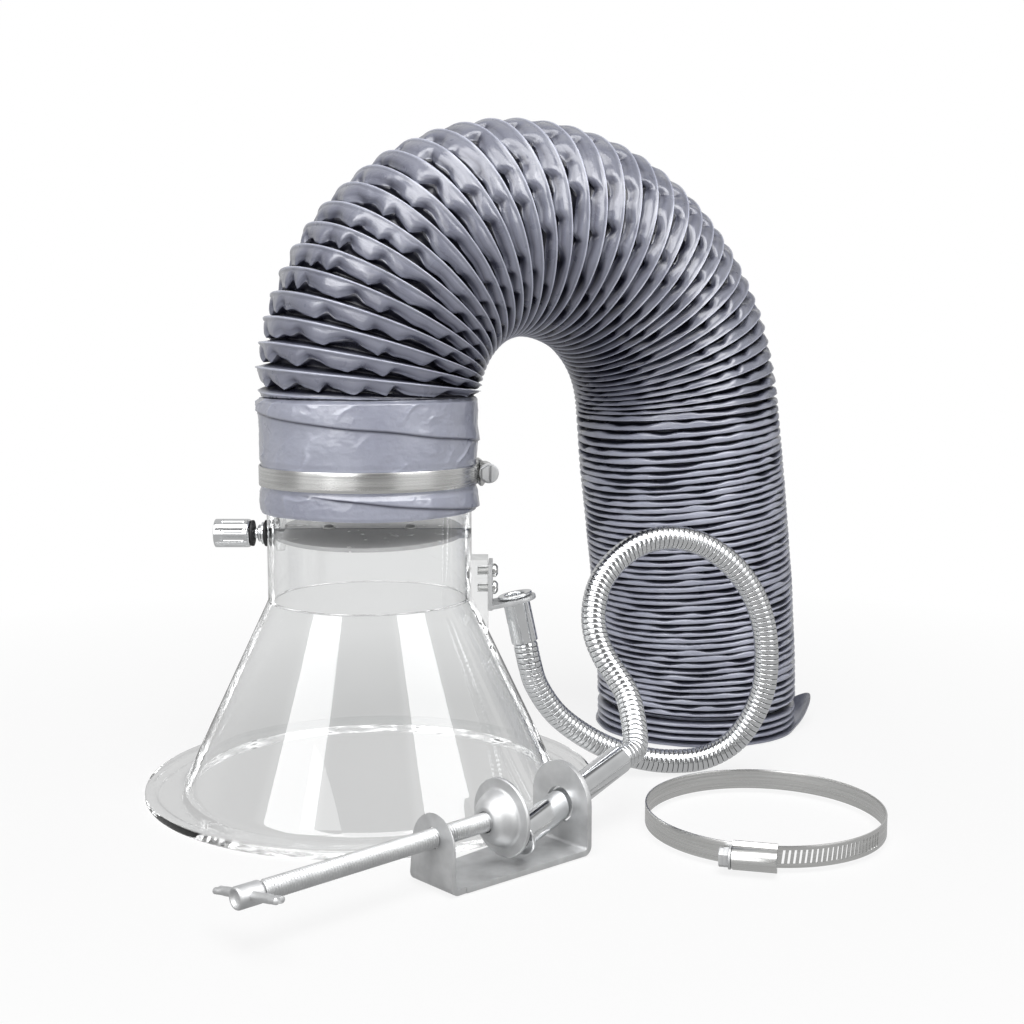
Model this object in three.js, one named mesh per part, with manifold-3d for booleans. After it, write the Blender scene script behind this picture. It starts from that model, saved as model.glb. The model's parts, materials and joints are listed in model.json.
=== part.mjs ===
// Bench-top fume extraction arm: a clear hood with a damper, a flexible duct, a gooseneck and a bench clamp.
// Millimetres, +Z up, standing on z = 0. The hood's axis is the layout's own origin.

import * as THREE from 'three';
import { mergeVertices } from 'three/addons/utils/BufferGeometryUtils.js';
import Module from 'manifold-3d';

const wasm = await Module();
wasm.setup();

// Fits
const SEAT_GAP = 0.3; // between pieces that seat on each other
const RUN_GAP = 0.3; // around pins and screws that turn or slide

// Clear hood
const HOOD_HEIGHT = 180;
const COLLAR_RADIUS = 50;
const COLLAR_LENGTH = 86;
const HOOD_WALL = 3;
const CONE_FOOT_RADIUS = 93;
const CONE_FOOT_FILLET = 4;
const BRIM_RADIUS = 111;
const BRIM_THICKNESS = 3;
const BRIM_LIP_WIDTH = 5;
const BRIM_LIP_RISE = 1.6;
const BRIM_LIP_SHOULDER = 3.2; // from the edge to the lip's inner shoulder
const BRIM_LIP_ROUND = 1; // from the edge to the lip's outer shoulder

// Damper in the collar
const DAMPER_DROP = 54; // from the collar's rim down to the damper's axis
const DAMPER_REST_TILT = 4; // degrees open, front edge down
const DAMPER_DISC_THICKNESS = 2;
const DAMPER_DISC_CLEARANCE = 0.7;
const SHAFT_RADIUS = 2.5;
const BOSS_RADIUS = 8.5;
const BOSS_LENGTH = 4.5;
const DAMPER_SCREW_SPACING = 40;
const DAMPER_SCREW_RADIUS = 1.3;
const DAMPER_SCREW_HEAD_RADIUS = 2.8;
const DAMPER_SCREW_HEAD_HEIGHT = 1.6;
const DAMPER_SCREW_CROWN_RADIUS = 1.7;
const DAMPER_SCREW_CROWN_HEIGHT = 0.7;
const DAMPER_SCREW_REACH = 1.8; // thread length below the disc
const WASHER_RADIUS = 6.5;
const WASHER_THICKNESS = 1.2;
const BUSH_FLANGE_RADIUS = 5.5;
const BUSH_FLANGE_THICKNESS = 1.2;
const BUSH_NOSE_RADIUS = 4;
const BUSH_NOSE_LENGTH = 1.8;
const KNOB_STANDOFF = 2.2; // bare shaft between bush and knob ring
const KNOB_RING_RADIUS = 6.4;
const KNOB_RING_THICKNESS = 1.3;
const KNOB_RADIUS = 7;
const KNOB_LENGTH = 17.5;
const KNOB_FLUTES = 8;
const KNOB_FLUTE_DEPTH = 0.55;
const KNOB_EDGE = 0.8;
const KNOB_BORE_DEPTH = 11;

// Gooseneck bracket on the collar
const BLOCK_RISE = 20; // above the joint of cone and collar
const BLOCK_DEPTH = 8; // from the collar to its flat outer face
const BLOCK_WIDTH = 20;
const PLATE_THICKNESS = 2;
const PLATE_RISE = 18; // above that joint
const PLATE_TILT = 12; // degrees that the arm rises outwards
const PLATE_ARM_DROP = 5; // from that joint down to where the arm leaves the upright leg
const PLATE_ARM_LENGTH = 24;
const FERRULE_REACH = 12; // from the plate's outer face to the ferrule's axis, along the arm
const BRACKET_SCREW_RISES = [13.5, 5]; // above that joint
const BRACKET_SCREW_RADIUS = 1.9;
const BRACKET_SCREW_HEAD_RADIUS = 3.4;
const BRACKET_SCREW_HEAD_HEIGHT = 2.4;
const BRACKET_SCREW_CROWN_RADIUS = 2;
const BRACKET_SCREW_CROWN_HEIGHT = 1.2;
const BRACKET_SCREW_REACH = 5; // thread length inside the block

// Duct: plain inlet cuff over the collar, ribbed hose, flared outlet cuff on the floor
const CUFF_OVERLAP = 42; // how far the cuff reaches down over the collar
const CUFF_LENGTH = 55;
const CUFF_WALL = 2;
const CUFF_BULGE = 1.8;
const DUCT_BORE_RADIUS = 46;
const ARCH_CREST_RADIUS = 55.5;
const ARCH_RIB_DEPTH = 5.5;
const ARCH_RIB_PITCH = 7.7;
const LEG_CREST_RADIUS = 57;
const LEG_RIB_DEPTH = 4;
const LEG_RIB_PITCH = 3.7;
const RIB_CLOSE_FROM = 0.8; // where the ribs start to close up, as a share of the arch's length
const RIB_CLOSE_TO = 1.1;
const DUCT_SIDES = 14;
const RIBS_PER_BORE_RING = 5;
const OUTLET_X = 177;
const OUTLET_Y = 118;
const ARCH_RISE = 86; // from the cuff's top to the arch's highest middle
const ARCH_PEAK_SHARE = 0.435; // how far along the span the arch peaks
const LEG_TOP_HEIGHT = 185;
const LEG_TOP_INSET = 18; // how far the leg's top leans in from above the outlet
const OUTLET_CUFF_HEIGHT = 13;
const OUTLET_FLAP_RADIUS = 68;
const OUTLET_FLAP_THICKNESS = 2.5;

// Worm-drive hose clamps: one round the cuff, one spare on the floor
const BAND_THICKNESS = 0.8;
const BAND_WIDTH = 9.4;
const BAND_RISE = 13; // from the cuff's hem to the band
const BAND_SLOTS = 22;
const BAND_SLOT_PITCH = 2.45;
const BAND_SLOT_LENGTH = 6;
const BAND_SLOT_WIDTH = 1.2;
const HOUSING_LENGTH = 18.5;
const HOUSING_WIDTH = 12.6;
const HOUSING_SHOULDER = 2.4;
const HOUSING_EDGE = 1.2; // sheet thickness at the saddle's two long edges
const HOUSING_CREST_RADIUS = 4.6;
const WORM_RADIUS = 3.2;
const WORM_AXIS_RISE = 4.1; // above the housing's underside
const WORM_HEAD_RADIUS = 4.4;
const WORM_HEAD_LENGTH = 5;
const WORM_SLOT_WIDTH = 1.1;
const WORM_SLOT_DEPTH = 1.6;
const COLLAR_CLAMP_ANGLE = 8; // degrees round the collar to the worm housing
const SPARE_CLAMP_ANGLE = -104;
const SPARE_CLAMP_RADIUS = 54; // outside of the spare band
const SPARE_CLAMP_X = 184.5;
const SPARE_CLAMP_Y = -69;

// Gooseneck and its two flared end ferrules
const FERRULE_RADIUS = 6.6;
const FERRULE_BORE_RADIUS = 5.2;
const FERRULE_LIP_RADIUS = 8.6;
const FERRULE_LIP_THICKNESS = 1.8;
const FERRULE_FLARE = 0.6; // how far the lip's edge stands above its root
const FERRULE_END_ROUND = 0.4;
const HOOD_FERRULE_LENGTH = 23;
const HOOD_FERRULE_BORE_DEPTH = 14;
const CLAMP_FERRULE_INNER = 29; // from the jaw plate to the open end
const CLAMP_FERRULE_OUTER = 44; // from the jaw plate to the gooseneck
const CLAMP_FERRULE_BORE_DEPTH = 36;
const CLAMP_FERRULE_RISE = 13; // degrees
const CLAMP_FERRULE_TURN = 7; // degrees from the bench clamp's own axis
const GOOSENECK_RADIUS = 6;
const GOOSENECK_RIB_DEPTH = 0.7;
const GOOSENECK_RIBS = 90;
const GOOSENECK_SIDES = 8;

// Bench clamp
const CLAMP_BEARING = -43.83; // degrees round the hood to the corner nearest the brim
const CLAMP_CLEARANCE = 1.26; // from the brim's edge to that corner
const BRACKET_AZIMUTH = 43; // degrees from +X
const BRACKET_LENGTH = 76;
const BRACKET_SHEET = 2.5;
const BRACKET_BEND_RADIUS = 1.5;
const FRONT_UPRIGHT_WIDTH = 26;
const FRONT_UPRIGHT_HEIGHT = 31;
const REAR_UPRIGHT_WIDTH = 34;
const REAR_UPRIGHT_HEIGHT = 38;
const JAW_HOLE_HEIGHT = 19;
const SCREW_HEIGHT = 21;
const SCREW_RADIUS = 4.1;
const SCREW_OUTER_LENGTH = 80; // from the front upright to the head
const SCREW_HEAD_RADIUS = 5.4;
const SCREW_HEAD_LENGTH = 11;
const SCREW_HEAD_EDGE = 1;
const PAD_FACE = 40; // from the front of the bracket to the pad's pressing face
const PAD_RADIUS = 17;
const PAD_FLANGE_THICKNESS = 1.8;
const PAD_DOME_RADIUS = 11.5;
const PAD_DEPTH = 10.5;
const PAD_DOME_FOOT = 4.2; // depth of the dome's straight foot
const PAD_DOME_SHOULDER = 7.9;
const PAD_DOME_SHOULDER_RADIUS = 9.4;
const PAD_FLANGE_ROUND = 0.9;
const PAD_SOCKET_DEPTH = 5;
const PAD_SOCKET_WALL = 1.6;
const TBAR_RADIUS = 2.2;
const TBAR_LENGTH = 42;
const TBAR_END_RADIUS = 2.9;
const TBAR_END_LENGTH = 2;
const TBAR_TILT = -11; // degrees about the screw's axis

// Facets
const HOOD_SEGMENTS = 48;
const CUFF_SEGMENTS = 40;
const BAND_SEGMENTS = 48;
const SMALL_SEGMENTS = 16;
const HEX_SIDES = 6;
const ARC_STEPS = 6;
const ARC_MIDDLE = 0.3; // how far a quarter round's middle point stands off its two tangents
const PAD_SEGMENTS = 24;
const TBAR_SEGMENTS = 12;
const SCREW_SEGMENTS = 8; // small screws

const radians = THREE.MathUtils.degToRad;
const v2 = (x, y) => new THREE.Vector2(x, y);
const v3 = (x, y, z) => new THREE.Vector3(x, y, z);

// Finishes
function finish(color, roughness, metalness, opacity = 1) {
  return new THREE.MeshStandardMaterial({ color, roughness, metalness, opacity, transparent: opacity < 1 });
}
const ACRYLIC = finish(0xe9eef0, 0.06, 0, 0.3);
const SMOKED = finish(0x6d7073, 0.2, 0, 0.7);
const CHROME = finish(0xd5d8db, 0.12, 1);
const STEEL = finish(0xc4c7ca, 0.3, 1);
const ZINC = finish(0xb4b7ba, 0.35, 1);
const RUBBER = finish(0x17181a, 0.7, 0);
const PVC = finish(0x6f7484, 0.42, 0);

// Solids: joins and cuts
function closedSolid(geometry) {
  const bare = geometry.clone();
  bare.deleteAttribute('normal');
  bare.deleteAttribute('uv');
  const merged = mergeVertices(bare, 1e-4);
  const vertProperties = new Float32Array(merged.attributes.position.array);
  const triVerts = new Uint32Array(merged.index.array);
  return new wasm.Manifold(new wasm.Mesh({ numProp: 3, vertProperties, triVerts }));
}

function geometryOf(solid) {
  const mesh = solid.getMesh();
  const geometry = new THREE.BufferGeometry();
  geometry.setAttribute('position', new THREE.BufferAttribute(new Float32Array(mesh.vertProperties), 3));
  geometry.setIndex(new THREE.BufferAttribute(new Uint32Array(mesh.triVerts), 1));
  geometry.computeVertexNormals();
  return geometry;
}

function cut(geometry, ...tools) {
  return geometryOf(tools.reduce((solid, tool) => solid.subtract(closedSolid(tool)), closedSolid(geometry)));
}

function join(geometry, ...others) {
  return geometryOf(others.reduce((solid, other) => solid.add(closedSolid(other)), closedSolid(geometry)));
}

function common(geometry, ...others) {
  const start = closedSolid(geometry);
  return geometryOf(others.reduce((solid, other) => solid.intersect(closedSolid(other)), start));
}

// A profile of [radius, height] pairs turned about Z, its faces pointing out
function turned(profile, segments) {
  const onAxis = profile[0][0] === 0 && profile[profile.length - 1][0] === 0;
  const loop = onAxis ? profile : [...profile, profile[0]];
  let area = 0;
  for (let i = 0; i + 1 < loop.length; i += 1) {
    area += loop[i][0] * loop[i + 1][1] - loop[i + 1][0] * loop[i][1];
  }
  const upward = area > 0 ? loop : [...loop].reverse();
  const geometry = new THREE.LatheGeometry(upward.map(([r, z]) => v2(r, z)), segments);
  return geometry.rotateX(Math.PI / 2);
}

// The same about X, with [radius, distance along X] pairs
function turnedAlongX(profile, segments) {
  return turned(profile, segments).rotateY(Math.PI / 2);
}

function rodAlongX(radius, from, to, segments = SMALL_SEGMENTS) {
  const rod = new THREE.CylinderGeometry(radius, radius, to - from, segments);
  return rod.rotateZ(Math.PI / 2).translate((from + to) / 2, 0, 0);
}

function block(fromX, toX, fromY, toY, fromZ, toZ) {
  const box = new THREE.BoxGeometry(toX - fromX, toY - fromY, toZ - fromZ);
  return box.translate((fromX + toX) / 2, (fromY + toY) / 2, (fromZ + toZ) / 2);
}

// A flat outline in XY, as thick as given, from z = 0
function sheet(shape, thickness, curveSegments = ARC_STEPS) {
  return new THREE.ExtrudeGeometry(shape, { depth: thickness, bevelEnabled: false, curveSegments });
}

function piece(parent, name, geometry, material) {
  const mesh = new THREE.Mesh(geometry, material);
  mesh.name = name;
  parent.add(mesh);
  return mesh;
}

function group(parent) {
  const child = new THREE.Group();
  parent.add(child);
  return child;
}

const arm = new THREE.Group();
const layout = group(arm);

// Hood: cone and brim in one moulding, with the collar tube bonded on top
const coneTop = HOOD_HEIGHT - COLLAR_LENGTH;
const damperHeight = HOOD_HEIGHT - DAMPER_DROP;
const coneSlope = (CONE_FOOT_RADIUS - COLLAR_RADIUS) / (coneTop - BRIM_THICKNESS);
const coneRadius = (z) => COLLAR_RADIUS + (coneTop - z) * coneSlope;
const collarBore = COLLAR_RADIUS - HOOD_WALL;

function buildHood() {
  const lipTop = BRIM_THICKNESS + BRIM_LIP_RISE;
  const filletFoot = coneRadius(BRIM_THICKNESS) + CONE_FOOT_FILLET;
  const filletTop = BRIM_THICKNESS + CONE_FOOT_FILLET;
  const footInner = CONE_FOOT_RADIUS - HOOD_WALL;
  const mid = CONE_FOOT_FILLET * ARC_MIDDLE;
  const cone = turned([
    [COLLAR_RADIUS, coneTop],
    [coneRadius(filletTop), filletTop],
    [coneRadius(BRIM_THICKNESS) + mid / 2, BRIM_THICKNESS + mid],
    [filletFoot, BRIM_THICKNESS],
    [BRIM_RADIUS - BRIM_LIP_WIDTH, BRIM_THICKNESS],
    [BRIM_RADIUS - BRIM_LIP_SHOULDER, lipTop],
    [BRIM_RADIUS - BRIM_LIP_ROUND, lipTop],
    [BRIM_RADIUS, BRIM_THICKNESS],
    [BRIM_RADIUS, 0],
    [footInner, 0],
    [collarBore, coneTop],
  ], HOOD_SEGMENTS);
  piece(layout, 'hood_cone', cone, ACRYLIC);

  const collar = turned([
    [COLLAR_RADIUS, coneTop + SEAT_GAP],
    [COLLAR_RADIUS, HOOD_HEIGHT],
    [collarBore, HOOD_HEIGHT],
    [collarBore, coneTop + SEAT_GAP],
  ], HOOD_SEGMENTS);
  const shaftHole = rodAlongX(SHAFT_RADIUS + RUN_GAP, -COLLAR_RADIUS - HOOD_WALL, COLLAR_RADIUS + HOOD_WALL);
  piece(layout, 'hood_collar', cut(collar, shaftHole.translate(0, 0, damperHeight)), ACRYLIC);
}

// Damper: smoked disc screwed to a half-flat shaft that turns in a boss and a bush
const washerFace = -COLLAR_RADIUS - SEAT_GAP - WASHER_THICKNESS;
const bushFace = washerFace - SEAT_GAP - BUSH_FLANGE_THICKNESS - BUSH_NOSE_LENGTH;
const knobRingFace = bushFace - KNOB_STANDOFF - KNOB_RING_THICKNESS;
const knobFace = knobRingFace - SEAT_GAP;
const bossInnerFace = collarBore - SEAT_GAP - BOSS_LENGTH;

function flutedOutline() {
  const shape = new THREE.Shape();
  const points = [];
  const perFlute = 4;
  for (let i = 0; i < KNOB_FLUTES * perFlute; i += 1) {
    const angle = (i / (KNOB_FLUTES * perFlute)) * 2 * Math.PI;
    const radius = KNOB_RADIUS - KNOB_EDGE - (i % perFlute < 1 ? KNOB_FLUTE_DEPTH : 0);
    points.push(v2(radius * Math.cos(angle), radius * Math.sin(angle)));
  }
  return shape.setFromPoints(points);
}

function buildDamperSeat() {
  const seat = group(layout);
  seat.position.z = damperHeight;
  const running = SHAFT_RADIUS + RUN_GAP;
  const bossRod = rodAlongX(BOSS_RADIUS, -COLLAR_RADIUS, -bossInnerFace);
  const boreFill = new THREE.CylinderGeometry(
    collarBore - SEAT_GAP, collarBore - SEAT_GAP, 3 * BOSS_RADIUS, HOOD_SEGMENTS,
  ).rotateX(Math.PI / 2);
  const passage = rodAlongX(running, -COLLAR_RADIUS - HOOD_WALL, 0);
  piece(seat, 'damper_boss', cut(common(bossRod, boreFill), passage), ACRYLIC);

  piece(seat, 'damper_washer', turnedAlongX([
    [running, washerFace],
    [WASHER_RADIUS, washerFace],
    [WASHER_RADIUS, washerFace + WASHER_THICKNESS],
    [running, washerFace + WASHER_THICKNESS],
  ], SMALL_SEGMENTS), RUBBER);

  const flangeFace = bushFace + BUSH_NOSE_LENGTH;
  piece(seat, 'damper_bush', turnedAlongX([
    [running, bushFace],
    [BUSH_NOSE_RADIUS, bushFace],
    [BUSH_NOSE_RADIUS, flangeFace],
    [BUSH_FLANGE_RADIUS, flangeFace],
    [BUSH_FLANGE_RADIUS, flangeFace + BUSH_FLANGE_THICKNESS],
    [running, flangeFace + BUSH_FLANGE_THICKNESS],
  ], SMALL_SEGMENTS), CHROME);
}

function buildDamper() {
  const damper = group(layout);
  damper.position.z = damperHeight;
  damper.rotation.x = radians(DAMPER_REST_TILT);
  const screwPlaces = [-DAMPER_SCREW_SPACING / 2, DAMPER_SCREW_SPACING / 2];
  const drill = (radius, x, from, to) => new THREE.CylinderGeometry(radius, radius, to - from, SMALL_SEGMENTS)
    .rotateX(Math.PI / 2).translate(x, 0, (from + to) / 2);

  const discRadius = collarBore - DAMPER_DISC_CLEARANCE;
  const discBottom = SEAT_GAP;
  const discTop = discBottom + DAMPER_DISC_THICKNESS;
  const disc = new THREE.CylinderGeometry(discRadius, discRadius, DAMPER_DISC_THICKNESS, HOOD_SEGMENTS);
  disc.rotateX(Math.PI / 2).translate(0, 0, (discBottom + discTop) / 2);
  const notchEdge = -bossInnerFace + DAMPER_DISC_CLEARANCE;
  const notchHalf = BOSS_RADIUS + DAMPER_DISC_CLEARANCE;
  const notch = block(-COLLAR_RADIUS, notchEdge, -notchHalf, notchHalf, -SHAFT_RADIUS, 2 * discTop);
  const screwHole = DAMPER_SCREW_RADIUS + RUN_GAP;
  const discHoles = screwPlaces.map((x) => drill(screwHole, x, -SHAFT_RADIUS, 2 * discTop));
  piece(damper, 'damper_disc', cut(disc, notch, ...discHoles), SMOKED);

  const shaftEnd = knobFace - KNOB_BORE_DEPTH + SEAT_GAP;
  const shaft = rodAlongX(SHAFT_RADIUS, shaftEnd, COLLAR_RADIUS - SEAT_GAP);
  const flat = block(notchEdge - SEAT_GAP, collarBore - DAMPER_DISC_CLEARANCE / 2,
    -BOSS_RADIUS, BOSS_RADIUS, 0, BOSS_RADIUS);
  const shaftHoles = screwPlaces.map((x) => (
    drill(screwHole, x, -DAMPER_SCREW_REACH - SEAT_GAP, SHAFT_RADIUS)));
  piece(damper, 'damper_shaft', cut(shaft, flat, ...shaftHoles), CHROME);

  ['left', 'right'].forEach((side, i) => {
    const under = discTop + SEAT_GAP;
    const headTop = under + DAMPER_SCREW_HEAD_HEIGHT;
    const screw = turned([
      [0, -DAMPER_SCREW_REACH],
      [DAMPER_SCREW_RADIUS, -DAMPER_SCREW_REACH],
      [DAMPER_SCREW_RADIUS, under],
      [DAMPER_SCREW_HEAD_RADIUS, under],
      [DAMPER_SCREW_HEAD_RADIUS, headTop - DAMPER_SCREW_CROWN_HEIGHT],
      [DAMPER_SCREW_CROWN_RADIUS, headTop],
      [0, headTop],
    ], SCREW_SEGMENTS);
    piece(damper, `damper_screw_${side}`, screw.translate(screwPlaces[i], 0, 0), STEEL);
  });

  piece(damper, 'damper_knob_ring', turnedAlongX([
    [SHAFT_RADIUS + RUN_GAP, knobRingFace],
    [KNOB_RING_RADIUS, knobRingFace],
    [KNOB_RING_RADIUS, knobRingFace + KNOB_RING_THICKNESS],
    [SHAFT_RADIUS + RUN_GAP, knobRingFace + KNOB_RING_THICKNESS],
  ], SMALL_SEGMENTS), RUBBER);

  const knob = new THREE.ExtrudeGeometry(flutedOutline(), {
    depth: KNOB_LENGTH - 2 * KNOB_EDGE,
    bevelEnabled: true,
    bevelThickness: KNOB_EDGE,
    bevelSize: KNOB_EDGE,
    bevelSegments: 2,
  });
  knob.rotateY(-Math.PI / 2).translate(knobFace - KNOB_EDGE, 0, 0);
  const knobBore = rodAlongX(SHAFT_RADIUS + RUN_GAP, knobFace - KNOB_BORE_DEPTH, knobFace + KNOB_EDGE);
  piece(damper, 'damper_knob', cut(knob, knobBore), CHROME);
}

// Gooseneck bracket: clear block bonded to collar and cone, angle plate held on by two screws
const blockFace = COLLAR_RADIUS + BLOCK_DEPTH;
const plateInner = blockFace + SEAT_GAP;
const plateArmRoot = coneTop - PLATE_ARM_DROP;
const bracketScrewHeights = BRACKET_SCREW_RISES.map((rise) => coneTop + rise);
const plateOuter = plateInner + PLATE_THICKNESS;

// The arm's own frame: x outwards along the arm, z across its thickness
const armFrame = new THREE.Object3D();
armFrame.position.set(plateInner, 0, plateArmRoot);
armFrame.rotation.y = -radians(PLATE_TILT);
armFrame.updateMatrix();
const ferruleX = PLATE_THICKNESS + FERRULE_REACH;

function buildBracket() {
  const blockFoot = coneTop - BLOCK_DEPTH / coneSlope;
  const tuck = COLLAR_RADIUS - HOOD_WALL / 2;
  const half = BLOCK_WIDTH / 2;
  const rawBlock = block(tuck, blockFace, -half, half, blockFoot, coneTop + BLOCK_RISE);
  const hoodFill = turned([
    [0, blockFoot - HOOD_WALL],
    [coneRadius(blockFoot - HOOD_WALL) + SEAT_GAP, blockFoot - HOOD_WALL],
    [COLLAR_RADIUS + SEAT_GAP, coneTop],
    [COLLAR_RADIUS + SEAT_GAP, HOOD_HEIGHT],
    [0, HOOD_HEIGHT],
  ], HOOD_SEGMENTS);
  const threadEnd = plateInner - SEAT_GAP - BRACKET_SCREW_REACH;
  const bores = (radius) => bracketScrewHeights.map((z) => (
    rodAlongX(radius, threadEnd - SEAT_GAP, 2 * blockFace).translate(0, 0, z)));
  const clearance = BRACKET_SCREW_RADIUS + RUN_GAP;
  piece(layout, 'bracket_block', cut(rawBlock, hoodFill, ...bores(clearance)), ACRYLIC);

  const upright = block(plateInner, plateOuter, -half, half, plateArmRoot, coneTop + PLATE_RISE);
  const armShape = new THREE.Shape();
  const armRoot = PLATE_THICKNESS / 2;
  armShape.moveTo(armRoot, -half);
  armShape.lineTo(PLATE_ARM_LENGTH - half, -half);
  armShape.absarc(PLATE_ARM_LENGTH - half, 0, half, -Math.PI / 2, Math.PI / 2, false);
  armShape.lineTo(armRoot, half);
  const holeRadius = FERRULE_RADIUS + RUN_GAP;
  armShape.holes.push(new THREE.Path().absarc(ferruleX, 0, holeRadius, 0, 2 * Math.PI, true));
  const armPlate = sheet(armShape, PLATE_THICKNESS).applyMatrix4(armFrame.matrix);
  piece(layout, 'bracket_plate', cut(join(upright, armPlate), ...bores(clearance)), ZINC);

  ['upper', 'lower'].forEach((place, i) => {
    const seat = plateOuter + SEAT_GAP;
    const headTop = seat + BRACKET_SCREW_HEAD_HEIGHT;
    const screw = turnedAlongX([
      [0, threadEnd],
      [BRACKET_SCREW_RADIUS, threadEnd],
      [BRACKET_SCREW_RADIUS, seat],
      [BRACKET_SCREW_HEAD_RADIUS, seat],
      [BRACKET_SCREW_HEAD_RADIUS, headTop - BRACKET_SCREW_CROWN_HEIGHT],
      [BRACKET_SCREW_CROWN_RADIUS, headTop],
      [0, headTop],
    ], SCREW_SEGMENTS);
    piece(layout, `bracket_screw_${place}`, screw.translate(0, 0, bracketScrewHeights[i]), STEEL);
  });
}

// Duct route: a plane curve from the cuff, over the arch and down to the outlet
const ductSpan = Math.hypot(OUTLET_X, OUTLET_Y);
const ductHeading = Math.atan2(OUTLET_Y, OUTLET_X);
const ductSide = v3(-Math.sin(ductHeading), Math.cos(ductHeading), 0);
const ROUND = 0.5523; // handle length of a cubic that draws a quarter circle
const cuffRadius = COLLAR_RADIUS + SEAT_GAP + CUFF_WALL;
const cuffBottom = HOOD_HEIGHT - CUFF_OVERLAP;
const cuffTop = cuffBottom + CUFF_LENGTH;
const bandBottom = cuffBottom + BAND_RISE;
const archPeak = cuffTop + ARCH_RISE;

function ductPoint(along, z) {
  return v3(along * Math.cos(ductHeading), along * Math.sin(ductHeading), z);
}

function ductRoute() {
  const start = cuffTop + SEAT_GAP;
  const end = OUTLET_CUFF_HEIGHT + SEAT_GAP;
  const peak = ductSpan * ARCH_PEAK_SHARE;
  const legTop = ductSpan - LEG_TOP_INSET;
  const lean = LEG_TOP_INSET / (LEG_TOP_HEIGHT - end);
  const rise = ROUND * (archPeak - start);
  const fall = ROUND * (archPeak - LEG_TOP_HEIGHT);
  const legHandle = (LEG_TOP_HEIGHT - end) / 3;
  const route = new THREE.CurvePath();
  route.add(new THREE.CubicBezierCurve3(
    ductPoint(0, start), ductPoint(0, start + rise),
    ductPoint(peak - ROUND * peak, archPeak), ductPoint(peak, archPeak),
  ));
  route.add(new THREE.CubicBezierCurve3(
    ductPoint(peak, archPeak), ductPoint(peak + ROUND * (legTop - peak), archPeak),
    ductPoint(legTop - lean * fall, LEG_TOP_HEIGHT + fall), ductPoint(legTop, LEG_TOP_HEIGHT),
  ));
  route.add(new THREE.CubicBezierCurve3(
    ductPoint(legTop, LEG_TOP_HEIGHT), ductPoint(legTop + lean * legHandle, LEG_TOP_HEIGHT - legHandle),
    ductPoint(ductSpan, end + legHandle), ductPoint(ductSpan, end),
  ));
  return route;
}

// Rib places: wide on the arch, closed up on the standing leg
function ribPlaces(route) {
  const lengths = route.getCurveLengths();
  const total = lengths[2];
  const settle = (s) => THREE.MathUtils.smoothstep(s, lengths[1] * RIB_CLOSE_FROM, lengths[1] * RIB_CLOSE_TO);
  const raw = [];
  for (let s = 0; s < total; s += THREE.MathUtils.lerp(ARCH_RIB_PITCH, LEG_RIB_PITCH, settle(s))) {
    raw.push(s);
  }
  const stretch = total / raw[raw.length - 1];
  return raw.map((s) => ({ share: (s * stretch) / total, leg: settle(s) }));
}

// Closed skin over rings of points, each ring listed the same way round
function skin(rings) {
  const sides = rings[0].length;
  const positions = rings.flat().flatMap((p) => [p.x, p.y, p.z]);
  const index = [];
  for (let i = 0; i < rings.length; i += 1) {
    const here = i * sides;
    const next = ((i + 1) % rings.length) * sides;
    for (let j = 0; j < sides; j += 1) {
      const k = (j + 1) % sides;
      index.push(here + j, here + k, next + j);
      index.push(here + k, next + k, next + j);
    }
  }
  const geometry = new THREE.BufferGeometry();
  geometry.setAttribute('position', new THREE.Float32BufferAttribute(positions, 3));
  geometry.setIndex(index);
  geometry.computeVertexNormals();
  return geometry;
}

function ringOf(centre, normal, side, radius, sides) {
  const ring = [];
  for (let j = 0; j < sides; j += 1) {
    const angle = (j / sides) * 2 * Math.PI;
    ring.push(centre.clone()
      .addScaledVector(normal, radius * Math.cos(angle))
      .addScaledVector(side, radius * Math.sin(angle)));
  }
  return ring;
}

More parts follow.
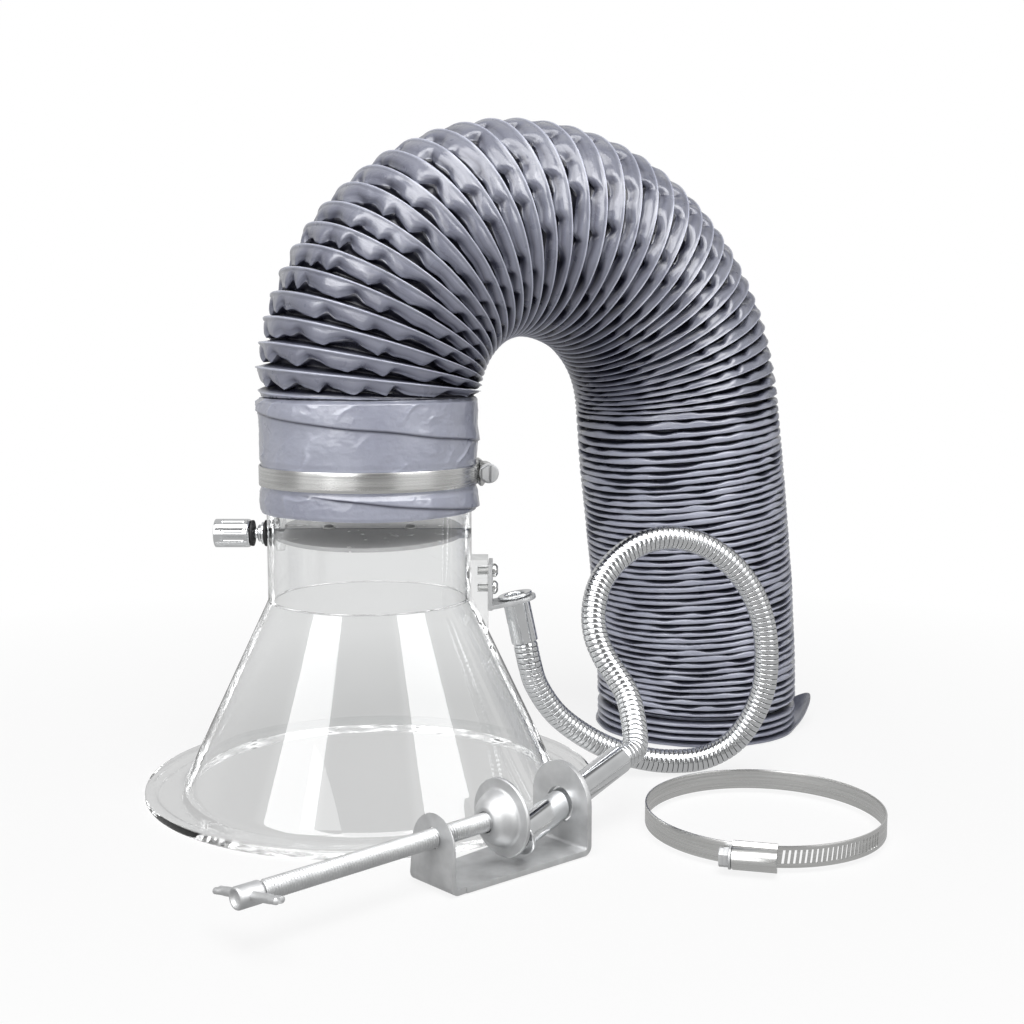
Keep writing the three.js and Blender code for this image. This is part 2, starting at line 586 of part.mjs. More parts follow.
function buildDuct() {
  const bulged = cuffRadius + CUFF_BULGE;
  const bandTop = bandBottom + BAND_WIDTH;
  const bandRoom = SEAT_GAP + BAND_THICKNESS;
  const inlet = turned([
    [COLLAR_RADIUS + SEAT_GAP, cuffBottom],
    [cuffRadius + CUFF_BULGE / 2, cuffBottom],
    [bulged, cuffBottom + CUFF_WALL],
    [bulged, (cuffBottom + bandBottom) / 2],
    [cuffRadius, bandBottom - bandRoom],
    [cuffRadius, bandTop + bandRoom],
    [bulged, (2 * bandTop + cuffTop) / 3],
    [cuffRadius + CUFF_BULGE / 2, (bandTop + 2 * cuffTop) / 3],
    [bulged, cuffTop - CUFF_WALL],
    [bulged, cuffTop],
    [COLLAR_RADIUS + SEAT_GAP, cuffTop],
  ], CUFF_SEGMENTS);
  piece(layout, 'duct_inlet_cuff', inlet, PVC);

  const route = ductRoute();
  const ribs = ribPlaces(route);
  const ringAt = (share, radius) => {
    const tangent = route.getTangentAt(share);
    const normal = v3().crossVectors(ductSide, tangent);
    return ringOf(route.getPointAt(share), normal, ductSide, radius, DUCT_SIDES);
  };
  const outer = [];
  for (let i = 0; i + 1 < ribs.length; i += 1) {
    const crest = THREE.MathUtils.lerp(ARCH_CREST_RADIUS, LEG_CREST_RADIUS, ribs[i].leg);
    const depth = THREE.MathUtils.lerp(ARCH_RIB_DEPTH, LEG_RIB_DEPTH, ribs[i].leg);
    outer.push(ringAt(ribs[i].share, crest - depth));
    outer.push(ringAt((ribs[i].share + ribs[i + 1].share) / 2, crest));
  }
  outer.push(ringAt(1, LEG_CREST_RADIUS - LEG_RIB_DEPTH));
  const bore = [];
  for (let i = 0; i + 1 < ribs.length; i += RIBS_PER_BORE_RING) {
    bore.push(ringAt(ribs[i].share, DUCT_BORE_RADIUS));
  }
  bore.push(ringAt(1, DUCT_BORE_RADIUS));
  piece(layout, 'duct_corrugated', skin([...outer, ...bore.reverse()]), PVC);

  const outletRadius = LEG_CREST_RADIUS - LEG_RIB_DEPTH;
  const outlet = turned([
    [DUCT_BORE_RADIUS, 0],
    [OUTLET_FLAP_RADIUS, 0],
    [OUTLET_FLAP_RADIUS, OUTLET_FLAP_THICKNESS],
    [outletRadius + 2 * OUTLET_FLAP_THICKNESS, OUTLET_FLAP_THICKNESS],
    [outletRadius + OUTLET_FLAP_THICKNESS / 2, 2 * OUTLET_FLAP_THICKNESS],
    [outletRadius, OUTLET_CUFF_HEIGHT],
    [DUCT_BORE_RADIUS, OUTLET_CUFF_HEIGHT],
  ], CUFF_SEGMENTS);
  piece(layout, 'duct_outlet_cuff', outlet.translate(OUTLET_X, OUTLET_Y, 0), PVC);
}

// A worm-drive hose clamp about Z, its band from z = 0, its screw head at the clockwise end
function buildHoseClamp(parent, name, bandOuter, housingAngle) {
  const band = turned([
    [bandOuter - BAND_THICKNESS, 0],
    [bandOuter, 0],
    [bandOuter, BAND_WIDTH],
    [bandOuter - BAND_THICKNESS, BAND_WIDTH],
  ], BAND_SEGMENTS);
  const slotStep = BAND_SLOT_PITCH / bandOuter;
  const firstSlot = HOUSING_LENGTH / 2 / bandOuter + slotStep;
  const slots = [];
  for (let i = 0; i < BAND_SLOTS; i += 1) {
    const slot = block(
      bandOuter - 2 * BAND_THICKNESS, bandOuter + BAND_THICKNESS,
      -BAND_SLOT_WIDTH / 2, BAND_SLOT_WIDTH / 2,
      (BAND_WIDTH - BAND_SLOT_LENGTH) / 2, (BAND_WIDTH + BAND_SLOT_LENGTH) / 2,
    );
    slots.push(slot.rotateZ(radians(housingAngle) + firstSlot + i * slotStep));
  }
  piece(parent, `${name}_band`, cut(band, ...slots), STEEL);

  // Housing frame: x along the screw, y outwards from the band, z up across the band
  const housingFrame = group(parent);
  const under = bandOuter + SEAT_GAP;
  housingFrame.rotation.z = radians(housingAngle) - Math.PI / 2;
  const half = HOUSING_WIDTH / 2;
  const profile = new THREE.Shape();
  profile.moveTo(-half, 0);
  profile.lineTo(half, 0);
  profile.lineTo(half, HOUSING_EDGE);
  profile.lineTo(HOUSING_CREST_RADIUS, HOUSING_SHOULDER);
  profile.absarc(0, WORM_AXIS_RISE, HOUSING_CREST_RADIUS, 0, Math.PI, false);
  profile.lineTo(-HOUSING_CREST_RADIUS, HOUSING_SHOULDER);
  profile.lineTo(-half, HOUSING_EDGE);
  profile.holes.push(new THREE.Path().absarc(0, WORM_AXIS_RISE, WORM_RADIUS + RUN_GAP, 0, 2 * Math.PI, true));
  const housing = sheet(profile, HOUSING_LENGTH).rotateY(-Math.PI / 2);
  housing.translate(HOUSING_LENGTH / 2, under, BAND_WIDTH / 2);
  piece(housingFrame, `${name}_housing`, housing, STEEL);

  const headFrom = HOUSING_LENGTH / 2 + SEAT_GAP;
  const headTo = headFrom + WORM_HEAD_LENGTH;
  const shank = rodAlongX(WORM_RADIUS, -HOUSING_LENGTH / 2, headFrom + SEAT_GAP);
  const head = rodAlongX(WORM_HEAD_RADIUS, headFrom, headTo, HEX_SIDES);
  const driveSlot = block(headTo - WORM_SLOT_DEPTH, headTo + WORM_SLOT_DEPTH,
    -WORM_HEAD_RADIUS, WORM_HEAD_RADIUS, -WORM_SLOT_WIDTH / 2, WORM_SLOT_WIDTH / 2);
  const screw = cut(join(shank, head), driveSlot);
  piece(housingFrame, `${name}_screw`, screw.translate(0, under + WORM_AXIS_RISE, BAND_WIDTH / 2), ZINC);
}

function buildHoseClamps() {
  const onCuff = group(layout);
  onCuff.position.z = bandBottom;
  buildHoseClamp(onCuff, 'collar_clamp', cuffRadius + SEAT_GAP + BAND_THICKNESS, COLLAR_CLAMP_ANGLE);
  const spare = group(layout);
  spare.position.set(SPARE_CLAMP_X, SPARE_CLAMP_Y, (HOUSING_WIDTH - BAND_WIDTH) / 2);
  buildHoseClamp(spare, 'spare_clamp', SPARE_CLAMP_RADIUS, SPARE_CLAMP_ANGLE);
}

// Bench clamp frame: x from the front upright to the jaw, y across, z up
const clamp = group(layout);
clamp.rotation.z = radians(BRACKET_AZIMUTH);
const nearCorner = v3(BRACKET_LENGTH, REAR_UPRIGHT_WIDTH / 2, 0).applyEuler(clamp.rotation);
const clampReach = BRIM_RADIUS + CLAMP_CLEARANCE;
const bearing = radians(CLAMP_BEARING);
clamp.position.set(clampReach * Math.cos(bearing), clampReach * Math.sin(bearing), 0).sub(nearCorner);
clamp.updateMatrix();

function uprightOutline(width, height) {
  const radius = width / 2;
  const outline = new THREE.Shape();
  outline.moveTo(-radius, 0);
  outline.lineTo(radius, 0);
  outline.absarc(0, height - radius, radius, 0, Math.PI, false);
  return outline;
}

// An outline in YZ made as thick as given along X
function across(outline, from, to) {
  const geometry = sheet(outline, to - from, 2 * ARC_STEPS);
  return geometry.rotateX(Math.PI / 2).rotateZ(Math.PI / 2).translate(from, 0, 0);
}

function buildBenchClamp() {
  const bend = BRACKET_SHEET + BRACKET_BEND_RADIUS;
  const inside = BRACKET_LENGTH - bend;
  const side = new THREE.Shape();
  side.moveTo(0, FRONT_UPRIGHT_HEIGHT);
  side.absarc(bend, bend, bend, Math.PI, 1.5 * Math.PI, false);
  side.absarc(inside, bend, bend, 1.5 * Math.PI, 2 * Math.PI, false);
  side.lineTo(BRACKET_LENGTH, REAR_UPRIGHT_HEIGHT);
  side.lineTo(BRACKET_LENGTH - BRACKET_SHEET, REAR_UPRIGHT_HEIGHT);
  side.absarc(inside, bend, BRACKET_BEND_RADIUS, 2 * Math.PI, 1.5 * Math.PI, true);
  side.absarc(bend, bend, BRACKET_BEND_RADIUS, 1.5 * Math.PI, Math.PI, true);
  side.lineTo(BRACKET_SHEET, FRONT_UPRIGHT_HEIGHT);
  const strip = sheet(side, REAR_UPRIGHT_WIDTH).rotateX(Math.PI / 2).translate(0, REAR_UPRIGHT_WIDTH / 2, 0);

  const plan = new THREE.Shape();
  plan.moveTo(0, -FRONT_UPRIGHT_WIDTH / 2);
  plan.lineTo(BRACKET_LENGTH, -REAR_UPRIGHT_WIDTH / 2);
  plan.lineTo(BRACKET_LENGTH, REAR_UPRIGHT_WIDTH / 2);
  plan.lineTo(0, FRONT_UPRIGHT_WIDTH / 2);
  const middle = BRACKET_LENGTH / 2;
  const frontTop = across(uprightOutline(REAR_UPRIGHT_WIDTH, FRONT_UPRIGHT_HEIGHT), 0, middle);
  const rearTop = across(uprightOutline(REAR_UPRIGHT_WIDTH, REAR_UPRIGHT_HEIGHT), middle, BRACKET_LENGTH);
  const narrowTop = across(uprightOutline(FRONT_UPRIGHT_WIDTH, FRONT_UPRIGHT_HEIGHT), 0, 2 * bend);
  const wideRest = block(2 * bend, BRACKET_LENGTH, -REAR_UPRIGHT_WIDTH, REAR_UPRIGHT_WIDTH,
    0, REAR_UPRIGHT_HEIGHT);
  const trapezoid = sheet(plan, REAR_UPRIGHT_HEIGHT);
  const cutStrip = common(strip, trapezoid, join(frontTop, rearTop), join(narrowTop, wideRest));

  const screwHole = rodAlongX(SCREW_RADIUS + RUN_GAP, -bend, bend).translate(0, 0, SCREW_HEIGHT);
  const slant = Math.acos(Math.cos(radians(CLAMP_FERRULE_RISE)) * Math.cos(radians(CLAMP_FERRULE_TURN)));
  const jawHoleRadius = FERRULE_RADIUS / Math.cos(slant) + BRACKET_SHEET * Math.tan(slant) + RUN_GAP;
  const jawHole = rodAlongX(jawHoleRadius, inside, BRACKET_LENGTH + bend, 2 * SMALL_SEGMENTS);
  jawHole.translate(0, 0, JAW_HOLE_HEIGHT);
  piece(clamp, 'clamp_bracket', cut(cutStrip, screwHole, jawHole), ZINC);

  const line = group(clamp);
  line.position.z = SCREW_HEIGHT;
  const socketRadius = SCREW_RADIUS + RUN_GAP;
  const domeBack = PAD_FACE - PAD_DEPTH;
  const socketEnd = domeBack + PAD_SOCKET_DEPTH;
  piece(line, 'clamp_pad', turnedAlongX([
    [0, PAD_FACE],
    [PAD_RADIUS, PAD_FACE],
    [PAD_RADIUS, PAD_FACE - PAD_FLANGE_THICKNESS],
    [PAD_DOME_RADIUS + PAD_FLANGE_ROUND, PAD_FACE - PAD_FLANGE_THICKNESS - PAD_FLANGE_ROUND],
    [PAD_DOME_RADIUS, PAD_FACE - PAD_DOME_FOOT],
    [PAD_DOME_SHOULDER_RADIUS, PAD_FACE - PAD_DOME_SHOULDER],
    [socketRadius + PAD_SOCKET_WALL, domeBack],
    [socketRadius, domeBack],
    [socketRadius, socketEnd],
    [0, socketEnd],
  ], PAD_SEGMENTS), ZINC);

  const headInner = -SCREW_OUTER_LENGTH;
  const headOuter = headInner - SCREW_HEAD_LENGTH;
  const headMiddle = (headInner + headOuter) / 2;
  const screw = turnedAlongX([
    [0, socketEnd - SEAT_GAP],
    [SCREW_RADIUS, socketEnd - SEAT_GAP],
    [SCREW_RADIUS, headInner],
    [SCREW_HEAD_RADIUS, headInner - (SCREW_HEAD_RADIUS - SCREW_RADIUS)],
    [SCREW_HEAD_RADIUS, headOuter + SCREW_HEAD_EDGE],
    [SCREW_HEAD_RADIUS - SCREW_HEAD_EDGE, headOuter],
    [0, headOuter],
  ], SMALL_SEGMENTS);
  const cross = group(line);
  cross.position.x = headMiddle;
  cross.rotation.x = radians(TBAR_TILT);
  cross.updateMatrix();
  const crossHole = new THREE.CylinderGeometry(
    TBAR_RADIUS + RUN_GAP, TBAR_RADIUS + RUN_GAP, 4 * SCREW_HEAD_RADIUS, SMALL_SEGMENTS,
  ).applyMatrix4(cross.matrix);
  piece(line, 'clamp_screw', cut(screw, crossHole), ZINC);

  const end = TBAR_LENGTH / 2;
  const waist = end - TBAR_END_LENGTH;
  const flare = TBAR_END_RADIUS - TBAR_RADIUS;
  const bar = turned([
    [0, -end],
    [TBAR_END_RADIUS, -end],
    [TBAR_END_RADIUS, -waist - flare],
    [TBAR_RADIUS, -waist],
    [TBAR_RADIUS, waist],
    [TBAR_END_RADIUS, waist + flare],
    [TBAR_END_RADIUS, end],
    [0, end],
  ], TBAR_SEGMENTS);
  piece(cross, 'clamp_tbar', bar.rotateX(Math.PI / 2), ZINC);
}

// Ferrule about Z: flared lip on top, tube hanging below z = 0, bored from the lip
function ferrule(length, boreDepth) {
  return turned([
    [0, -length],
    [FERRULE_RADIUS - FERRULE_END_ROUND, -length],
    [FERRULE_RADIUS, -length + FERRULE_LIP_THICKNESS],
    [FERRULE_RADIUS, 0],
    [FERRULE_LIP_RADIUS, FERRULE_FLARE],
    [FERRULE_LIP_RADIUS, FERRULE_LIP_THICKNESS],
    [FERRULE_BORE_RADIUS + FERRULE_LIP_THICKNESS / 2, FERRULE_LIP_THICKNESS],
    [FERRULE_BORE_RADIUS, FERRULE_LIP_THICKNESS / 2],
    [FERRULE_BORE_RADIUS, -boreDepth],
    [0, -boreDepth],
  ], SMALL_SEGMENTS);
}

// Middle of the gooseneck, from the hood's ferrule round its loop to the bench clamp
const GOOSENECK_ROUTE = [
  [82, 3, 49], [91.5, 6, 34], [104, 8.5, 23], [118.5, 10.5, 14.5], [134, 12, 9], [151, 12.5, 6.7],
  [168, 13, 8.5], [182.5, 13, 16.5], [192, 12.5, 29.5], [197.5, 12, 45], [198.5, 11, 62], [196, 10, 80],
  [189, 8, 97], [178, 5, 110.5], [164, 2, 120], [148, -2, 124], [133, -6, 121.5], [121, -10, 114],
  [113, -14, 104], [109.5, -18, 92], [110, -22, 80], [114.5, -25.5, 69], [120.5, -29, 60], [125, -33, 52],
];

function buildGooseneck() {
  const hoodEnd = group(layout);
  const seat = v3(ferruleX, 0, PLATE_THICKNESS + SEAT_GAP).applyMatrix4(armFrame.matrix);
  hoodEnd.position.copy(seat);
  hoodEnd.rotation.copy(armFrame.rotation);
  hoodEnd.updateMatrix();
  piece(hoodEnd, 'hood_ferrule', ferrule(HOOD_FERRULE_LENGTH, HOOD_FERRULE_BORE_DEPTH), CHROME);

  // The clamp's ferrule: z along its axis, towards its open end inside the jaw
  const jaw = v3(BRACKET_LENGTH - BRACKET_SHEET / 2, 0, JAW_HOLE_HEIGHT).applyMatrix4(clamp.matrix);
  const rise = radians(CLAMP_FERRULE_RISE);
  const turn = radians(BRACKET_AZIMUTH + CLAMP_FERRULE_TURN);
  const outwards = v3(Math.cos(rise) * Math.cos(turn), Math.cos(rise) * Math.sin(turn), Math.sin(rise));
  const clampEnd = group(layout);
  clampEnd.quaternion.setFromUnitVectors(v3(0, 0, 1), outwards.clone().negate());
  clampEnd.position.copy(jaw).addScaledVector(outwards, -CLAMP_FERRULE_INNER);
  const clampFerruleLength = CLAMP_FERRULE_INNER + CLAMP_FERRULE_OUTER;
  piece(clampEnd, 'clamp_ferrule', ferrule(clampFerruleLength, CLAMP_FERRULE_BORE_DEPTH), CHROME);

  const downwards = v3(0, 0, -1).transformDirection(hoodEnd.matrix);
  const first = seat.clone().addScaledVector(downwards, HOOD_FERRULE_LENGTH + SEAT_GAP);
  const last = jaw.clone().addScaledVector(outwards, CLAMP_FERRULE_OUTER + SEAT_GAP);
  const straight = 2 * GOOSENECK_RADIUS;
  const route = new THREE.CatmullRomCurve3([
    first,
    first.clone().addScaledVector(downwards, straight),
    ...GOOSENECK_ROUTE.map(([x, y, z]) => v3(x, y, z)),
    last.clone().addScaledVector(outwards, straight),
    last,
  ], false, 'centripetal');
  const steps = 2 * GOOSENECK_RIBS;
  const frames = route.computeFrenetFrames(steps, false);
  const rings = [];
  for (let i = 0; i <= steps; i += 1) {
    const radius = i % 2 === 0 ? GOOSENECK_RADIUS - GOOSENECK_RIB_DEPTH : GOOSENECK_RADIUS;
    const centre = route.getPointAt(i / steps);
    rings.push(ringOf(centre, frames.normals[i], frames.binormals[i], radius, GOOSENECK_SIDES));
  }
  piece(layout, 'gooseneck_tube', cappedSkin(rings), CHROME);
}

// Closed skin over rings with a flat cap on each end ring
function cappedSkin(rings) {
  const middleOf = (ring) => ring.reduce((sum, p) => sum.add(p), v3()).divideScalar(ring.length);
  const pinch = (ring) => ring.map(() => middleOf(ring));
  const geometry = skin([pinch(rings[0]), ...rings, pinch(rings[rings.length - 1])]);
  const merged = mergeVertices(geometry.deleteAttribute('normal'), 1e-4);
  const whole = [];
  for (let i = 0; i < merged.index.count; i += 3) {
    const [a, b, c] = [merged.index.getX(i), merged.index.getX(i + 1), merged.index.getX(i + 2)];
    if (a !== b && b !== c && c !== a) {
      whole.push(a, b, c);
    }
  }
  merged.setIndex(whole);
  merged.computeVertexNormals();
  return merged;
}

buildHood();
buildDamperSeat();
buildDamper();
buildBracket();
buildDuct();
buildHoseClamps();
buildBenchClamp();
buildGooseneck();

// The part's origin: middle of its footprint, on the floor
arm.updateMatrixWorld(true);
const extent = new THREE.Box3().setFromObject(layout, true);
layout.position.set(-(extent.min.x + extent.max.x) / 2, -(extent.min.y + extent.max.y) / 2, -extent.min.z);
arm.updateMatrixWorld(true);

export default arm;
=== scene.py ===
"""Looks of the bench-top fume extraction arm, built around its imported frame. Shapes are in millimetres."""
import json
import math
from bisect import bisect_right

import bmesh
import bpy
from mathutils import Matrix, Vector, noise


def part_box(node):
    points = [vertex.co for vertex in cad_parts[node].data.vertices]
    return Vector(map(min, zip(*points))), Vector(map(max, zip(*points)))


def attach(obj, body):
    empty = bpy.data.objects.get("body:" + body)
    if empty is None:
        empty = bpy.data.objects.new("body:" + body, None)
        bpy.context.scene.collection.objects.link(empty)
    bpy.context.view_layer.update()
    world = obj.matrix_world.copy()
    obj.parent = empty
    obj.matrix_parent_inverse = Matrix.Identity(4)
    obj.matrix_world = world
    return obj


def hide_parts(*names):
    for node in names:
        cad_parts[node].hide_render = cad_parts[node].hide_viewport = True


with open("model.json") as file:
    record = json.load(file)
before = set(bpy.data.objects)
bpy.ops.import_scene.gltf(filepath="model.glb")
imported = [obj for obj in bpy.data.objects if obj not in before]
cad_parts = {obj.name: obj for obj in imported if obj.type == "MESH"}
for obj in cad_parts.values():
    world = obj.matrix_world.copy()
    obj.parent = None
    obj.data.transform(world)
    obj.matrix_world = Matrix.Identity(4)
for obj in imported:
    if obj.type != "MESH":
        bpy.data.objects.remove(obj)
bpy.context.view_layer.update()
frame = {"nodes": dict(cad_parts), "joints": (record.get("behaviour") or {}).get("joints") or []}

MM = 0.001
TAU = 2 * math.pi
UP = Vector((0, 0, 1))
SEAT_GAP = 0.3
SHARP_EDGE = 38
BEVEL_ANGLE = 30
ROUND_SEGMENTS = 48
SMALL_SEGMENTS = 32
HELIX_STEPS = 1500
BORE_STEPS = 60
SPLINE_STEPS = 12

# Camera and studio
CAMERA_FROM_HOOD = Vector((69.9, -693.99, 219.3))
CAMERA_PITCH = 6.81
CAMERA_LENS = 50
FLOOR_RADIUS = 1500
FLOOR_SEGMENTS = 96
FLOOR_DROP = 0.6
FLOOR_SPREAD = 1.2
FLOOR_GLOW = 0.84
GLOW_FADE = (0.25, 0.75)
MIRRORED_WHITE = 0.5
THROUGH_WHITE = 0.68
THROUGH_FAR = 0.9
THROUGH_FADE = (0.5, 0.78)
AMBIENT = 0.26
SOFTBOXES = (
    # azimuth from the camera's side, elevation, width, height, radiance, lights matt surfaces
    (-50, 40, 850, 1300, 5.0, False),
    (54, 40, 850, 1300, 5.0, False),
    (8, 64, 1200, 1200, 4.2, True),
    (-25, 14, 900, 900, 2.2, True),
)
SOFTBOX_DISTANCE = 1600
SOFTBOX_TARGET = Vector((0, 0, 140))
STUDIO_WALL = (
    # azimuth, brightness that metal and glass see
    (-180, 0.6), (-112, 0.6), (-98, 0.4), (-74, 0.35), (-68, 1.0), (-33, 1.0), (-27, 0.24), (5, 0.22),
    (30, 0.24), (36, 1.0), (72, 1.0), (78, 0.45), (120, 0.7), (135, 0.2), (148, 0.2), (160, 0.6),
)

# Clear hood
HOOD_WALL = 3.0
CONE_FOOT_RADIUS = 93.0
CONE_FOOT_FILLET = 4.0
BRIM_THICKNESS = 3.0
BRIM_BEAD = 4.6
BRIM_BEAD_WIDTH = 6.0
HOOD_SEGMENTS = 160

# Damper
DAMPER_TILT = 4
SHAFT_RADIUS = 2.5
DISC_THICKNESS = 2.0
DISC_CLEARANCE = 0.7
BOSS_RADIUS = 8.5
BOSS_LENGTH = 4.5
WASHER_RADIUS = 6.5
KNOB_RING_RADIUS = 6.4
BUSH_FLANGE_RADIUS = 5.5
BUSH_FLANGE = 1.2
BUSH_RADIUS = 4.0
KNOB_RADIUS = 7.0
KNOB_PADS = 10
KNOB_PAD_WIDTH = 2.7
KNOB_PAD_FROM = 3.4
KNOB_PAD_TO = 12.6
KNOB_PAD_DEPTH = 0.55
KNOB_SEGMENTS = 160
DISC_EDGE_STEPS = 128
DISC_SCREW_PLACES = (-20, 20)
DISC_SCREW_RADIUS = 1.3
DISC_SCREW_HEAD_RADIUS = 2.8
DISC_SCREW_HEAD = 1.6

# Gooseneck bracket
BRACKET_SCREW_RADIUS = 1.9
BRACKET_SCREW_HEAD_RADIUS = 3.4
BRACKET_SCREW_HEAD = 2.4
BRACKET_SCREW_SOCKET = 0.9

# Duct, on an arch whose peak is 2 mm lower than its plain solid's
OUTLET_X = 177.0
OUTLET_Y = 118.0
CUFF_TOP = 193.0
ARCH_PEAK_HEIGHT = 277.0
ARCH_PEAK_SHARE = 0.42
LEG_TOP_HEIGHT = 185.0
LEG_TOP_INSET = 18.0
OUTLET_CUFF_HEIGHT = 13.0
QUARTER_ROUND = 0.5523
ARCH_STEPS = 120
DUCT_PITCHES = (
    # share of the arch's length, pitch
    (0.0, 7.0), (0.12, 7.4), (0.3, 8.6), (0.48, 10.2), (0.62, 9.2), (0.78, 7.4), (0.92, 5.8), (1.02, 4.6),
    (1.14, 3.7),
)
# how far the turns stand open, by share of the arch's length
OPENED = ((0.0, 0.0), (0.06, 0.1), (0.34, 1.0), (0.62, 1.0), (0.95, 0.55))
OPENED_INSIDE = 0.25
CLOSE_FROM = 0.8
CLOSE_TO = 1.1
ARCH_CREST = 55.0
LEG_CREST = 57.0
DUCT_BORE = 46.0
DUCT_SIDES = 288
DUCT_END_RADIUS = 51.5
# one turn of the duct, from its deep fold to the hanging lip, the wire and the crown above it
WIRE_SHARE = 0.66
LIP_ROWS = (
    # share of the way from the fold to the lip, depths where the arch is tight, open, and on the leg, painted
    # light
    (0.0, 8.2, 8.0, 5.0, 0), (0.4, 7.2, 7.2, 4.9, 0), (0.72, 5.8, 6.2, 4.2, 0), (0.92, 4.0, 4.8, 2.2, 0),
)
FACE_ROWS = (
    # share of the way from the lip to the wire
    (0.0, 3.3, 4.0, 0.7, 1), (0.08, 2.6, 3.2, 0.3, 0.7), (0.24, 1.9, 2.1, 0.0, 0), (0.5, 1.3, 1.1, 0.0, 0),
    (0.74, 1.0, 0.6, 0.0, 0), (0.92, 1.1, 0.9, 0.1, 0),
)
CROWN_ROWS = (
    # share of the way from the wire to the next fold
    (0.0, 0.1, 0.1, 0.2, 1), (0.08, 0.0, 0.0, 0.2, 1), (0.16, 0.2, 0.2, 0.3, 0.9), (0.24, 1.5, 1.6, 0.4, 0),
    (0.42, 3.6, 3.7, 1.0, 0), (0.66, 6.0, 6.1, 2.8, 0), (0.88, 7.7, 7.6, 4.5, 0),
)
PETALS_PER_TURN = 14.6
PETAL_RISE = 0.24
PETAL_LEAN = 0.25
PETAL_LOW = -0.1
PETAL_HIGH_TIGHT = 0.32
PETAL_HIGH_OPEN = 0.28
PETAL_VALLEY = 1.8
PETAL_CRUMPLE = 0.5
PETAL_WANDER_SLOW = 0.9
PETAL_WANDER_ROUGH = 0.55
PETAL_EVEN = 0.85
PETAL_UNEVEN = 1.1
PETAL_LEAST = 0.3
PETAL_MOST = 1.4
WRINKLE_RADIUS = 50.0
WRINKLE_SIZE = 22.0
WRINKLE_HEIGHT = 0.4
LEG_GAP_LOW = -0.04
LEG_GAP_HIGH = 0.4
LEG_GAP_WAVES = 5.2
# Painted light and shade on the duct's cloth: darker with fold depth and on the arch's inner side, lighter on
# wires, lips and the leg
FOLD_FULL_DEPTH = 7.4
LEG_FOLD_DEPTH = 6.2
CROWDED_SHADE = 2.5
LEG_FOLD_EVEN = 0.06
FOLD_EVEN = 0.15
WIRE_LIGHT = 0.9
HOOK_SHADE = 0.6

# Cuff over the collar
CUFF_BOTTOM = 138.0
CUFF_RADIUS = 52.3
CUFF_SWELL = ((138, 0.0), (139.5, 0.7), (143, 0.9), (147, 0.7), (150.4, 0.0), (161, 0.0), (164, 0.6),
              (171, 0.9), (179, 0.7), (187, 1.2), (191, 1.0), (193, -1.5))
BAND_ZONE = (149.8, 161.6)
SEAM_PITCH = 33.0
SEAM_HEIGHT = 188.5
SEAM_RIDGE = 1.0
SEAM_LAP = 6.0
SEAM_STEP = 0.45
SEAM_WAVE = 0.8
CUFF_WRINKLE = 0.9
CUFF_WRINKLE_SPACING = 4.4
CUFF_CRINKLE = 0.16
CUFF_DROOP = 0.7
CUFF_GATHERS = (
    # strength, height, spread
    (1.2, 165, 7), (0.7, 147, 4), (1.1, 191, 6),
)
# Painted light: the cuff's cloth is painted lighter than the duct's even level
CUFF_PAINTED_LIGHT = 0.1
CUFF_ROWS = 190
CUFF_SIDES = 360

# Ribbed end on the floor with its hem
HEM_RADIUS = 58.2
HEM_CURL_REACH = 8.5
HEM_CURL_RISE = 14.0
HEM_CURL_WIDTH = 0.34
HEM_CURL_TURN = 0.02
HEM_THICKNESS = 1.2
HEM_STEPS = 10
OUTLET_RIBS = 3
OUTLET_RIB = ((0.0, 4.6), (0.18, 4.2), (0.3, 1.4), (0.42, 0.2), (0.6, 0.0), (0.8, 0.2), (0.9, 2.2))
OUTLET_SIDES = 240

# Gooseneck, on the frame's own route, from the hood's axis
GOOSENECK_RADIUS = 6.0
GOOSENECK_PITCH = 2.5
GOOSENECK_GROOVE = 0.7
GOOSENECK_SIDES = 28
GOOSENECK_PHASES = (0.0, 0.04, 0.08, 0.13, 0.5, 0.87, 0.92, 0.96)
GOOSENECK_PROFILE = (0.0, 0.5, 0.92, 1.0, 1.0, 1.0, 0.92, 0.5)
GOOSENECK_ROUTE = (
    (82, 3, 49), (91.5, 6, 34), (104, 8.5, 23), (118.5, 10.5, 14.5), (134, 12, 9), (151, 12.5, 6.7),
    (168, 13, 8.5), (182.5, 13, 16.5), (192, 12.5, 29.5), (197.5, 12, 45), (198.5, 11, 62), (196, 10, 80),
    (189, 8, 97), (178, 5, 110.5), (164, 2, 120), (148, -2, 124), (133, -6, 121.5), (121, -10, 114),
    (113, -14, 104), (109.5, -18, 92), (110, -22, 80), (114.5, -25.5, 69), (120.5, -29, 60), (125, -33, 52),
)
FERRULE_RADIUS = 6.6
FERRULE_BORE = 5.2
FERRULE_LIP_RADIUS = 8.6
FERRULE_LIP = 1.8
HOOD_FERRULE_LENGTH = 23.0
CLAMP_FERRULE_INNER = 29.0
CLAMP_FERRULE_OUTER = 44.0
HOOD_FERRULE_HOLLOW = 14
CLAMP_FERRULE_HOLLOW = 36

# Hose clamps
BAND_THICKNESS = 0.8
BAND_WIDTH = 9.4
BAND_SLOTS = 22
BAND_SLOT_PITCH = 2.45
BAND_SLOT_LENGTH = 6.0
BAND_SLOT_WIDTH = 1.2
BAND_SLOT_SLANT = 0.12
BAND_EDGE = 0.35
BAND_EDGE_ROUND = 0.12
BAND_PLAIN_STEPS = 110
HOUSING_LENGTH = 18.5
WORM_RADIUS = 3.2
WORM_HEAD_RADIUS = 4.4
WORM_HEAD_LENGTH = 5.0
WORM_SLOT_DEPTH = 1.8
WORM_SLOT_WIDTH = 1.2

